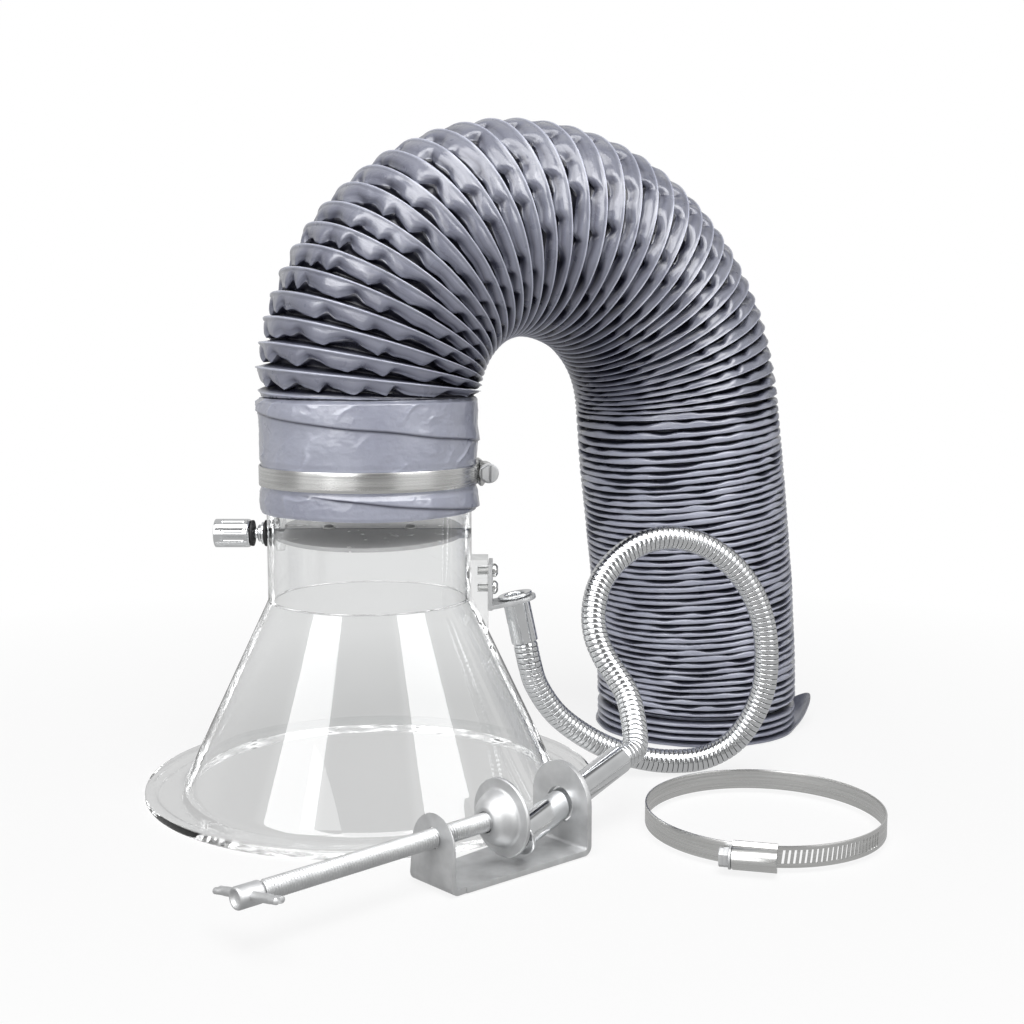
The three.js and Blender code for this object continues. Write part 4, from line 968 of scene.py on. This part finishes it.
def build_duct():
    line, arch = duct_line()

    def leg_share(distance):
        return smoothstep(arch * CLOSE_FROM, arch * CLOSE_TO, distance)

    def pitch_at(distance):
        return between(DUCT_PITCHES, distance / arch)

    def tent(turn):
        """Height of a petal's lower edge along the wire: up sharply at the hook, then slowly down."""
        return min(turn / PETAL_RISE, (1 - turn) / (1 - PETAL_RISE))

    rows = [("lip", *row) for row in LIP_ROWS]
    rows += [("face", *row) for row in FACE_ROWS]
    rows += [("crown", *row) for row in CROWN_ROWS]
    shares = [i / len(rows) for i in range(len(rows))]

    def radius_at(k, angle, wire_angle, distance):
        part, share, tight_depth, open_depth, leg_depth, light = rows[k]
        leg = leg_share(distance)
        centre, normal, side = line.at(distance)
        across = normal * (WRINKLE_RADIUS * math.cos(angle))
        spot = (centre + across + side * (WRINKLE_RADIUS * math.sin(angle))) / WRINKLE_SIZE
        rough = noise.noise(spot)
        fine = noise.noise(spot * 2.6 + Vector((7, 3, 5)))
        outside = 0.5 - 0.5 * math.cos(angle)
        opened = between(OPENED, distance / arch) * mix(OPENED_INSIDE, 1.0, outside)
        slow = noise.noise(spot * 0.45 + Vector((2, 9, 4)))
        leaned = PETAL_LEAN * share if part == "face" else 0.0
        petal = PETALS_PER_TURN * wire_angle / TAU + PETAL_WANDER_SLOW * slow + PETAL_WANDER_ROUGH * rough
        hung = tent((petal - leaned) % 1.0)
        uneven = min(max(PETAL_EVEN + PETAL_UNEVEN * fine, PETAL_LEAST), PETAL_MOST)
        high = mix(PETAL_HIGH_TIGHT, PETAL_HIGH_OPEN, opened) * uneven
        gap = 0.5 + noise.noise(Vector((wire_angle * LEG_GAP_WAVES, 1.5, 0.5)))
        hooked = tent(petal % 1.0)
        lip = mix(mix(PETAL_LOW, high, hooked), mix(LEG_GAP_LOW, LEG_GAP_HIGH, gap), leg)
        if part == "lip":
            place = lip * share
        elif part == "face":
            place = mix(lip, WIRE_SHARE, share)
        else:
            place = mix(WIRE_SHARE, 1.0, share)
        depth = mix(tight_depth, open_depth, opened)
        if part == "face":
            depth += (1 - share) * (PETAL_VALLEY * hung ** 2 + PETAL_CRUMPLE * fine)
        depth = mix(depth, leg_depth, leg)
        radius = max(mix(ARCH_CREST, LEG_CREST, leg) + WRINKLE_HEIGHT * rough - depth, DUCT_BORE + 0.6)
        # Painted shade deepens with fold depth and towards the arch's inner side; painted light brightens the
        # wires and lips
        even = mix(FOLD_EVEN, LEG_FOLD_EVEN, leg)
        inner_arch_painted_shade = 1 + CROWDED_SHADE * (1 - outside) ** 3 * (1 - leg)
        fold = even + (1 - even) * depth * inner_arch_painted_shade / mix(FOLD_FULL_DEPTH, LEG_FOLD_DEPTH, leg)
        light *= (1 - leg) * (WIRE_LIGHT if part == "crown" else 1 - HOOK_SHADE * hung)
        return radius, place - shares[k], mix(fold, 0.0, light)

    skin = helical_skin(line, pitch_at, shares, DUCT_SIDES, radius_at, 1, DUCT_END_RADIUS, 4, DUCT_BORE)
    piece("duct_ribbed_hose", skin, PVC, "hood", ("duct_corrugated",), sharp=150)


# Cuff over the collar
def build_cuff():
    inner = COLLAR_RADIUS + SEAT_GAP
    ring = [(mix(CUFF_BOTTOM, CUFF_TOP, i / CUFF_ROWS), True) for i in range(CUFF_ROWS + 1)]
    ring += [(CUFF_TOP, False), (CUFF_BOTTOM + 0.6, False)]

    def skin(z, angle):
        """Radius and painted shade of the fabric: a lapped spiral seam with slanted wrinkles between, a
        painted shadow under each lap and painted light on the wrinkles' ridges.
        """
        low, high = BAND_ZONE
        free = 1 - smoothstep(low - 2.5, low, z) * smoothstep(-high - 2.5, -high, -z)
        arc = angle * CUFF_RADIUS
        spot = polar(2.4, angle, z / 22)
        warp = noise.noise(spot * 1.7)
        radius = CUFF_RADIUS + between(CUFF_SWELL, z) * (0.85 + 0.5 * warp)
        seam = SEAM_HEIGHT - SEAM_PITCH * (angle - math.pi) / TAU + SEAM_WAVE * noise.noise(spot * 0.8)
        away = (z - seam + SEAM_PITCH / 2) % SEAM_PITCH - SEAM_PITCH / 2
        lap = math.exp(-(away / (SEAM_LAP if away > 0 else SEAM_STEP)) ** 2)
        # Painted shadow in a thin dark line under each lapped edge of the seam
        shadow = math.exp(-((away + 0.7) / 0.5) ** 2)
        slant = (arc * 0.64 - z * 0.77) / CUFF_WRINKLE_SPACING + 2.6 * warp
        wrinkle = (1 - abs(math.sin(slant))) ** 3.4
        gathered = 0.1 + sum(gain * math.exp(-((z - at) / reach) ** 2) for gain, at, reach in CUFF_GATHERS)
        patch = smoothstep(-0.25, 0.35, noise.noise(spot * 1.3 + Vector((3, 8, 1))))
        crinkle = noise.noise(spot * 7) + 0.6 * noise.noise(spot * 15)
        puckered = wrinkle * gathered * patch
        radius += free * (SEAM_RIDGE * lap + CUFF_WRINKLE * puckered + CUFF_CRINKLE * crinkle)
        # Painted shade under the seam's lap, painted light on the wrinkles' ridges
        return radius, CUFF_PAINTED_LIGHT + 0.5 * shadow * free - 0.05 * puckered

    verts = []
    folds = []
    for j in range(CUFF_SIDES):
        angle = TAU * j / CUFF_SIDES
        droop = CUFF_DROOP * noise.noise(polar(1.5, angle, 4))
        for z, outside in ring:
            radius, fold = skin(z, angle) if outside else (inner, CUFF_PAINTED_LIGHT)
            low_edge = 1 - smoothstep(CUFF_BOTTOM, CUFF_BOTTOM + 6, z)
            verts.append(HOOD_AXIS + polar(radius, angle, z + droop * low_edge))
            folds.append(max(fold, 0.0))
    shape = (verts, ring_faces(len(ring), CUFF_SIDES), {"fold": folds})
    piece("duct_cuff_fabric", shape, PVC, "hood", ("duct_inlet_cuff",), sharp=80)


# Ribbed end on the floor with its hem
def build_outlet():
    centre = HOOD_AXIS + Vector((OUTLET_X, OUTLET_Y, 0))
    foot = HEM_THICKNESS + 0.6
    pitch = (OUTLET_CUFF_HEIGHT - foot) / OUTLET_RIBS
    verts = []
    folds = []
    for j in range(OUTLET_SIDES):
        angle = TAU * j / OUTLET_SIDES
        around = polar(1, angle, 0)
        turn = (angle + math.pi) % TAU - math.pi
        curl = math.exp(-((turn - HEM_CURL_TURN) / HEM_CURL_WIDTH) ** 2)
        section = [(DUCT_END_RADIUS, OUTLET_CUFF_HEIGHT, 1.0)]
        for rib in reversed(range(OUTLET_RIBS)):
            wave = 0.5 * noise.noise(around * 4 + UP * (3 * rib))
            for share, depth in reversed(OUTLET_RIB):
                z = foot + pitch * (rib + share) + wave * (1 - share)
                # Painted shade deepening into each rib's hollow; the hem keeps the even level and the bore
                # below is painted darkest
                fold = LEG_FOLD_EVEN + (1 - LEG_FOLD_EVEN) * depth / LEG_FOLD_DEPTH
                section.append((LEG_CREST - depth, max(z, foot), fold))
        ripple = noise.noise(around * 3.3 + UP * 2)
        reach = HEM_RADIUS + HEM_CURL_REACH * curl + 0.8 * ripple
        hem = []
        for i in range(HEM_STEPS + 1):
            t = i / HEM_STEPS
            rise = HEM_CURL_RISE * curl * t ** 3
            hem.append((mix(LEG_CREST - 3, reach, t), HEM_THICKNESS + rise, FOLD_EVEN))
        section += hem
        section += [(r, max(z - HEM_THICKNESS, 0.0), fold) for r, z, fold in reversed(hem)]
        section += [(DUCT_BORE, 0.0, 1.0), (DUCT_BORE, OUTLET_CUFF_HEIGHT, 1.0)]
        verts.extend(centre + around * r + UP * z for r, z, fold in section)
        folds.extend(fold for r, z, fold in section)
    shape = (verts, ring_faces(len(section), OUTLET_SIDES), {"fold": folds})
    piece("duct_outlet_hem", shape, PVC, "hood", ("duct_outlet_cuff",), sharp=70)


# Worm-drive hose clamps
def slotted_band(centre, outer, low, first_angle):
    """A thin band about Z with a run of slanted slots that starts at first_angle."""
    step = BAND_SLOT_PITCH / outer
    half = BAND_SLOT_WIDTH / outer / 2
    stations = []
    for i in range(BAND_SLOTS):
        middle = first_angle + i * step
        stations += [(middle - half, True), (middle + half, False)]
    slot_end = first_angle + (BAND_SLOTS - 1) * step + half
    rest = TAU - (slot_end - (first_angle - half))
    stations += [(slot_end + rest * i / BAND_PLAIN_STEPS, False) for i in range(1, BAND_PLAIN_STEPS)]
    heights = (0.0, BAND_EDGE, (BAND_WIDTH - BAND_SLOT_LENGTH) / 2, (BAND_WIDTH + BAND_SLOT_LENGTH) / 2,
               BAND_WIDTH - BAND_EDGE, BAND_WIDTH)
    levels = len(heights)
    count = len(stations)
    verts = []
    for inset in (0.0, BAND_THICKNESS):
        for angle, _ in stations:
            for z in heights:
                soft = BAND_EDGE_ROUND if z in (0.0, BAND_WIDTH) else 0.0
                radius = outer - inset + (soft if inset else -soft)
                turn = angle + BAND_SLOT_SLANT * (z - BAND_WIDTH / 2) / outer
                verts.append(centre + polar(radius, turn, low + z))
    inner = count * levels

    def is_solid(i, k):
        return 0 <= k < levels - 1 and not (stations[i % count][1] and k == 2)

    faces = []
    for i in range(count):
        a = i * levels
        b = (i + 1) % count * levels
        for k in range(levels - 1):
            if not is_solid(i, k):
                continue
            faces.append((a + k, b + k, b + k + 1, a + k + 1))
            faces.append((inner + a + k, inner + a + k + 1, inner + b + k + 1, inner + b + k))
            if not is_solid(i, k - 1):
                faces.append((a + k, inner + a + k, inner + b + k, b + k))
            if not is_solid(i, k + 1):
                faces.append((a + k + 1, b + k + 1, inner + b + k + 1, inner + a + k + 1))
            if not is_solid(i - 1, k):
                faces.append((a + k, a + k + 1, inner + a + k + 1, inner + a + k))
            if not is_solid(i + 1, k):
                faces.append((b + k, inner + b + k, inner + b + k + 1, b + k + 1))
    return verts, faces


def build_hose_clamp(prefix, band_body, worm_body, worm_joint):
    low, high = box_mm(f"{prefix}_band")
    centre = upright_axis(low, high)
    outer = (high.x - low.x) / 2
    worm = joint_point(worm_joint)
    axis = joint_axis(worm_joint)
    out = (Vector((worm.x, worm.y, 0)) - centre).normalized()
    first = math.atan2(out.y, out.x) + HOUSING_LENGTH / 2 / outer + BAND_SLOT_PITCH / outer
    piece(f"{prefix}_band_slotted", slotted_band(centre, outer, low.z, first), STEEL, band_body,
          (f"{prefix}_band",), sharp=30)
    refined(f"{prefix}_housing_pressed", f"{prefix}_housing", STEEL, band_body, 0.35)

    place = frame_along(worm, axis)
    head_from = HOUSING_LENGTH / 2 + SEAT_GAP
    head_to = head_from + WORM_HEAD_LENGTH
    shank = turned(rounded([
        (0, -HOUSING_LENGTH / 2, 0), (WORM_RADIUS, -HOUSING_LENGTH / 2, 0.4), (WORM_RADIUS, head_from, 0),
        (WORM_HEAD_RADIUS + 0.5, head_from, 0.2), (WORM_HEAD_RADIUS + 0.5, head_from + 1.0, 0.3),
        (0, head_from + 1.0, 0),
    ]), 40, place)
    across = WORM_HEAD_RADIUS * math.cos(math.pi / 6)
    slot_half = WORM_SLOT_WIDTH / 2
    slot_floor = head_to - WORM_SLOT_DEPTH
    sixths = [TAU * i / 6 for i in range(6)]
    hexagon = [(WORM_HEAD_RADIUS * math.cos(a), WORM_HEAD_RADIUS * math.sin(a)) for a in sixths]
    base = extruded(hexagon, head_from + 0.9, slot_floor, place)
    cheek_edge = math.sqrt(WORM_HEAD_RADIUS ** 2 - slot_half ** 2) - 0.2
    cheek = [(cheek_edge, slot_half), (WORM_HEAD_RADIUS / 2, across), (-WORM_HEAD_RADIUS / 2, across),
             (-cheek_edge, slot_half)]
    upper = extruded(cheek, slot_floor - 0.05, head_to, place)
    lower = extruded([(x, -y) for x, y in reversed(cheek)], slot_floor - 0.05, head_to, place)
    piece(f"{prefix}_screw_slotted", joined(shank, base, upper, lower), ZINC, worm_body,
          (f"{prefix}_screw",), bevel=0.25)


# Gooseneck with its ferrules
def ferrule_outline(length, bore_depth):
    return rounded([
        (0, -length, 0),
        (FERRULE_RADIUS, -length, 0.5),
        (FERRULE_RADIUS, 0, 0.6),
        (FERRULE_LIP_RADIUS, 0.5, 0.7),
        (FERRULE_LIP_RADIUS, FERRULE_LIP, 0.8),
        (FERRULE_BORE, FERRULE_LIP, 1.0),
        (FERRULE_BORE, -bore_depth, 0),
        (0, -bore_depth, 0),
    ], 6)


def build_gooseneck():
    seat = joint_point("gooseneck_swivel")
    upward = joint_axis("gooseneck_swivel")
    start = joint_point("screw_turn")
    bench = frame_along(Vector((start.x, start.y, 0)), UP, joint_axis("screw_turn"))
    jaw = bench @ Vector((BRACKET_LENGTH - BRACKET_SHEET / 2, 0, JAW_HOLE_HEIGHT))
    open_end = joint_axis("clamp_slide")
    lip = jaw + open_end * CLAMP_FERRULE_INNER
    clamp_length = CLAMP_FERRULE_INNER + CLAMP_FERRULE_OUTER
    for node, length, hollow, place in (
        ("hood_ferrule", HOOD_FERRULE_LENGTH, HOOD_FERRULE_HOLLOW, frame_along(seat, upward, (1, 0, 0))),
        ("clamp_ferrule", clamp_length, CLAMP_FERRULE_HOLLOW, frame_along(lip, open_end)),
    ):
        shape = turned(ferrule_outline(length, hollow), ROUND_SEGMENTS, place)
        piece(node + "_flared", shape, CHROME, "gooseneck", (node,))

    first = seat - upward * (HOOD_FERRULE_LENGTH + SEAT_GAP)
    last = jaw - open_end * (CLAMP_FERRULE_OUTER + SEAT_GAP)
    straight = 2 * GOOSENECK_RADIUS
    points = [first, first - upward * straight, *(HOOD_AXIS + Vector(p) for p in GOOSENECK_ROUTE),
              last - open_end * straight, last]
    line = Line(spline(points))

    def radius_at(k, angle, wire_angle, distance):
        raised = GOOSENECK_PROFILE[k]
        # The fold value, 1 in each groove, sets the painted shade of the chrome there
        return GOOSENECK_RADIUS - GOOSENECK_GROOVE * (1 - raised), 0.0, 1 - raised

    skin = helical_skin(line, lambda distance: GOOSENECK_PITCH, GOOSENECK_PHASES, GOOSENECK_SIDES, radius_at,
                        1, GOOSENECK_RADIUS - GOOSENECK_GROOVE, 1.5)
    piece("gooseneck_wound", skin, WOUND, "gooseneck", ("gooseneck_tube",), sharp=75)


# Bench clamp
def build_bench_clamp():
    start = joint_point("screw_turn")
    axis = joint_axis("screw_turn")
    refined("clamp_bracket_bent", "clamp_bracket", ZINC, "bench_clamp", 0.4)
    line = frame_along(start, axis)
    back = PAD_FACE - PAD_DEPTH
    socket = SCREW_RADIUS + SEAT_GAP
    pad = rounded([
        (0, PAD_FACE, 0), (PAD_RADIUS, PAD_FACE, 0.8), (PAD_RADIUS, PAD_FACE - 1.8, 0.8),
        (PAD_DOME_RADIUS + 0.6, PAD_FACE - 2.2, 1.2), (PAD_DOME_RADIUS, PAD_FACE - 5, 2.2),
        (PAD_DOME_RADIUS * 0.8, back + 1.8, 2.2), (socket + 1.6, back, 0.6), (socket, back, 0.3),
        (socket, back + PAD_SOCKET, 0), (0, back + PAD_SOCKET, 0),
    ], 7)
    piece("clamp_pad_domed", turned(pad, 72, line), ZINC, "pad", ("clamp_pad",))

    tip = back + PAD_SOCKET - SEAT_GAP
    thread = Line([start - axis * (SCREW_OUTER_LENGTH - 0.5), start + axis * tip])

    def radius_at(k, angle, wire_angle, distance):
        return SCREW_RADIUS - SCREW_THREAD_DEPTH * SCREW_THREAD_PROFILE[k], 0.0, 0.0

    rod = helical_skin(thread, lambda distance: SCREW_PITCH, SCREW_THREAD_PHASES, 24, radius_at, -1,
                       SCREW_RADIUS - 0.7, 1.5)
    head_in = -SCREW_OUTER_LENGTH
    head_out = head_in - SCREW_HEAD_LENGTH
    head = turned(rounded([
        (0, head_out + 1.8, 0), (SCREW_HEAD_RADIUS - 2.2, head_out + 1.2, 0.3),
        (SCREW_HEAD_RADIUS - 1.1, head_out, 0.3), (SCREW_HEAD_RADIUS - 0.4, head_out, 0.3),
        (SCREW_HEAD_RADIUS, head_out + 0.8, 0.3), (SCREW_HEAD_RADIUS, head_in - 0.8, 0.4),
        (SCREW_RADIUS - 0.3, head_in, 0.4), (0, head_in, 0),
    ]), ROUND_SEGMENTS, line)
    piece("clamp_screw_threaded", joined(rod[:2], head), ZINC, "screw", ("clamp_screw",), sharp=50)

    bar_axis = joint_axis("tbar_slide")
    middle = start + axis * ((head_in + head_out) / 2)
    end = TBAR_LENGTH / 2

    def flattened(r, z, angle):
        spread = smoothstep(end - TBAR_FLAT, end - TBAR_FLAT / 3, abs(z))
        return r * spread * (TBAR_END_RADIUS / TBAR_RADIUS - 1) * math.cos(2 * angle)

    low_end = [Vector((TBAR_RADIUS, -end + 0.4 + TBAR_FLAT * i / TBAR_FLAT_STEPS))
               for i in range(TBAR_FLAT_STEPS + 1)]
    high_end = [Vector((p.x, -p.y)) for p in reversed(low_end)]
    tip = [Vector((0, -end)), Vector((TBAR_RADIUS - 0.5, -end))]
    bar = [*tip, *low_end, *high_end, *(Vector((p.x, -p.y)) for p in reversed(tip))]
    tbar = turned(bar, SMALL_SEGMENTS, frame_along(middle, bar_axis, axis), flattened)
    piece("clamp_tbar_flattened", tbar, ZINC, "tbar", ("clamp_tbar",))


# Studio
def build_floor():
    verts = [Vector((0, 0, -FLOOR_DROP))]
    verts += [polar(FLOOR_RADIUS, TAU * i / FLOOR_SEGMENTS, -FLOOR_DROP) for i in range(FLOOR_SEGMENTS)]
    faces = [(0, 1 + i, 1 + (i + 1) % FLOOR_SEGMENTS) for i in range(FLOOR_SEGMENTS)]
    mesh = bpy.data.meshes.new("floor")
    mesh.from_pydata([v * MM for v in verts], [], faces)
    floor = bpy.data.objects.new("floor", mesh)
    bpy.context.scene.collection.objects.link(floor)

    look = Finish("floor_paper", Roughness=0.9, Metallic=0.0, Base_Color=(0.86, 0.86, 0.86, 1))
    rays = look.node("ShaderNodeLightPath").outputs
    camera = rays["Is Camera Ray"]
    glossy = rays["Is Glossy Ray"]
    clear = rays["Is Transmission Ray"]
    spread = look.node("ShaderNodeTexGradient", gradient_type="SPHERICAL")
    look.link(look.coordinates((FLOOR_SPREAD,) * 3), spread.inputs["Vector"])
    glow = look.ranged(spread.outputs["Fac"], GLOW_FADE, 1.0, FLOOR_GLOW)
    through = look.ranged(spread.outputs["Fac"], THROUGH_FADE, THROUGH_FAR, THROUGH_WHITE)
    share = look.combined("MAXIMUM", look.combined("MULTIPLY", camera, glow),
                          look.combined("MAXIMUM", glossy, clear))
    mirrored = look.combined("MULTIPLY", look.combined("GREATER_THAN", glossy, clear), MIRRORED_WHITE)
    level = look.combined("ADD", look.combined("MULTIPLY", clear, through), mirrored)
    white = look.node("ShaderNodeEmission")
    look.link(look.combined("MAXIMUM", level, camera), white.inputs["Strength"])
    blend = look.node("ShaderNodeMixShader")
    look.link(share, blend.inputs["Fac"])
    look.link(look.shader.outputs["BSDF"], blend.inputs[1])
    look.link(white.outputs["Emission"], blend.inputs[2])
    look.link(blend.outputs["Shader"], look.tree.nodes["Material Output"].inputs["Surface"])
    mesh.materials.append(look.material)


def build_world():
    """White to the eye and through glass; metal and gloss see a wall of bright and dark panels."""
    world = bpy.data.worlds.new("studio")
    bpy.context.scene.world = world
    world.use_nodes = True
    sky = Nodes(world.node_tree)
    around = sky.node("ShaderNodeTexGradient", gradient_type="RADIAL")
    sky.link(sky.node("ShaderNodeTexCoord").outputs["Generated"], around.inputs["Vector"])
    stops = sorted(((azimuth + 90) % 360 / 360, level) for azimuth, level in STUDIO_WALL)
    wall = sky.ramp(around.outputs["Fac"], *stops)
    rays = sky.node("ShaderNodeLightPath").outputs
    shiny = sky.node("ShaderNodeMix", A=AMBIENT)
    sky.link(rays["Is Glossy Ray"], shiny.inputs["Factor"])
    sky.link(wall, shiny.inputs["B"])
    level = sky.node("ShaderNodeMix", B=1.0)
    direct = sky.combined("MAXIMUM", rays["Is Camera Ray"], rays["Is Transmission Ray"])
    sky.link(direct, level.inputs["Factor"])
    sky.link(shiny.outputs["Result"], level.inputs["A"])
    background = sky.tree.nodes["Background"]
    background.inputs["Color"].default_value = (1, 1, 1, 1)
    sky.link(level.outputs["Result"], background.inputs["Strength"])


def build_lights():
    for index, (azimuth, elevation, width, height, radiance, matt) in enumerate(SOFTBOXES):
        a = math.radians(azimuth)
        e = math.radians(elevation)
        towards = Vector((math.sin(a) * math.cos(e), -math.cos(a) * math.cos(e), math.sin(e)))
        lamp = bpy.data.lights.new(f"softbox_{index}", "AREA")
        lamp.shape = "RECTANGLE"
        lamp.size = width * MM
        lamp.size_y = height * MM
        lamp.energy = radiance * math.pi * lamp.size * lamp.size_y
        holder = bpy.data.objects.new(lamp.name, lamp)
        bpy.context.scene.collection.objects.link(holder)
        holder.location = (SOFTBOX_TARGET + towards * SOFTBOX_DISTANCE) * MM
        holder.rotation_mode = "QUATERNION"
        holder.rotation_quaternion = (-towards).to_track_quat("-Z", "Y")
        holder.visible_camera = False
        holder.visible_transmission = False
        holder.visible_diffuse = matt


def build_camera():
    lens = bpy.data.cameras.new("photo_view")
    lens.lens = CAMERA_LENS
    camera = bpy.data.objects.new("photo_view", lens)
    bpy.context.scene.collection.objects.link(camera)
    camera.location = (HOOD_AXIS + CAMERA_FROM_HOOD) * MM
    camera.rotation_euler = (math.radians(90 - CAMERA_PITCH), 0, 0)
    bpy.context.scene.camera = camera


build_camera()
build_hood()
build_damper()
build_bracket()
build_duct()
build_cuff()
build_outlet()
build_hose_clamp("collar_clamp", "hood", "collar_worm", "collar_worm_turn")
build_hose_clamp("spare_clamp", "spare_clamp", "spare_worm", "spare_worm_turn")
build_gooseneck()
build_bench_clamp()
build_floor()
build_world()
build_lights()
bpy.context.scene.view_settings.view_transform = "Standard"
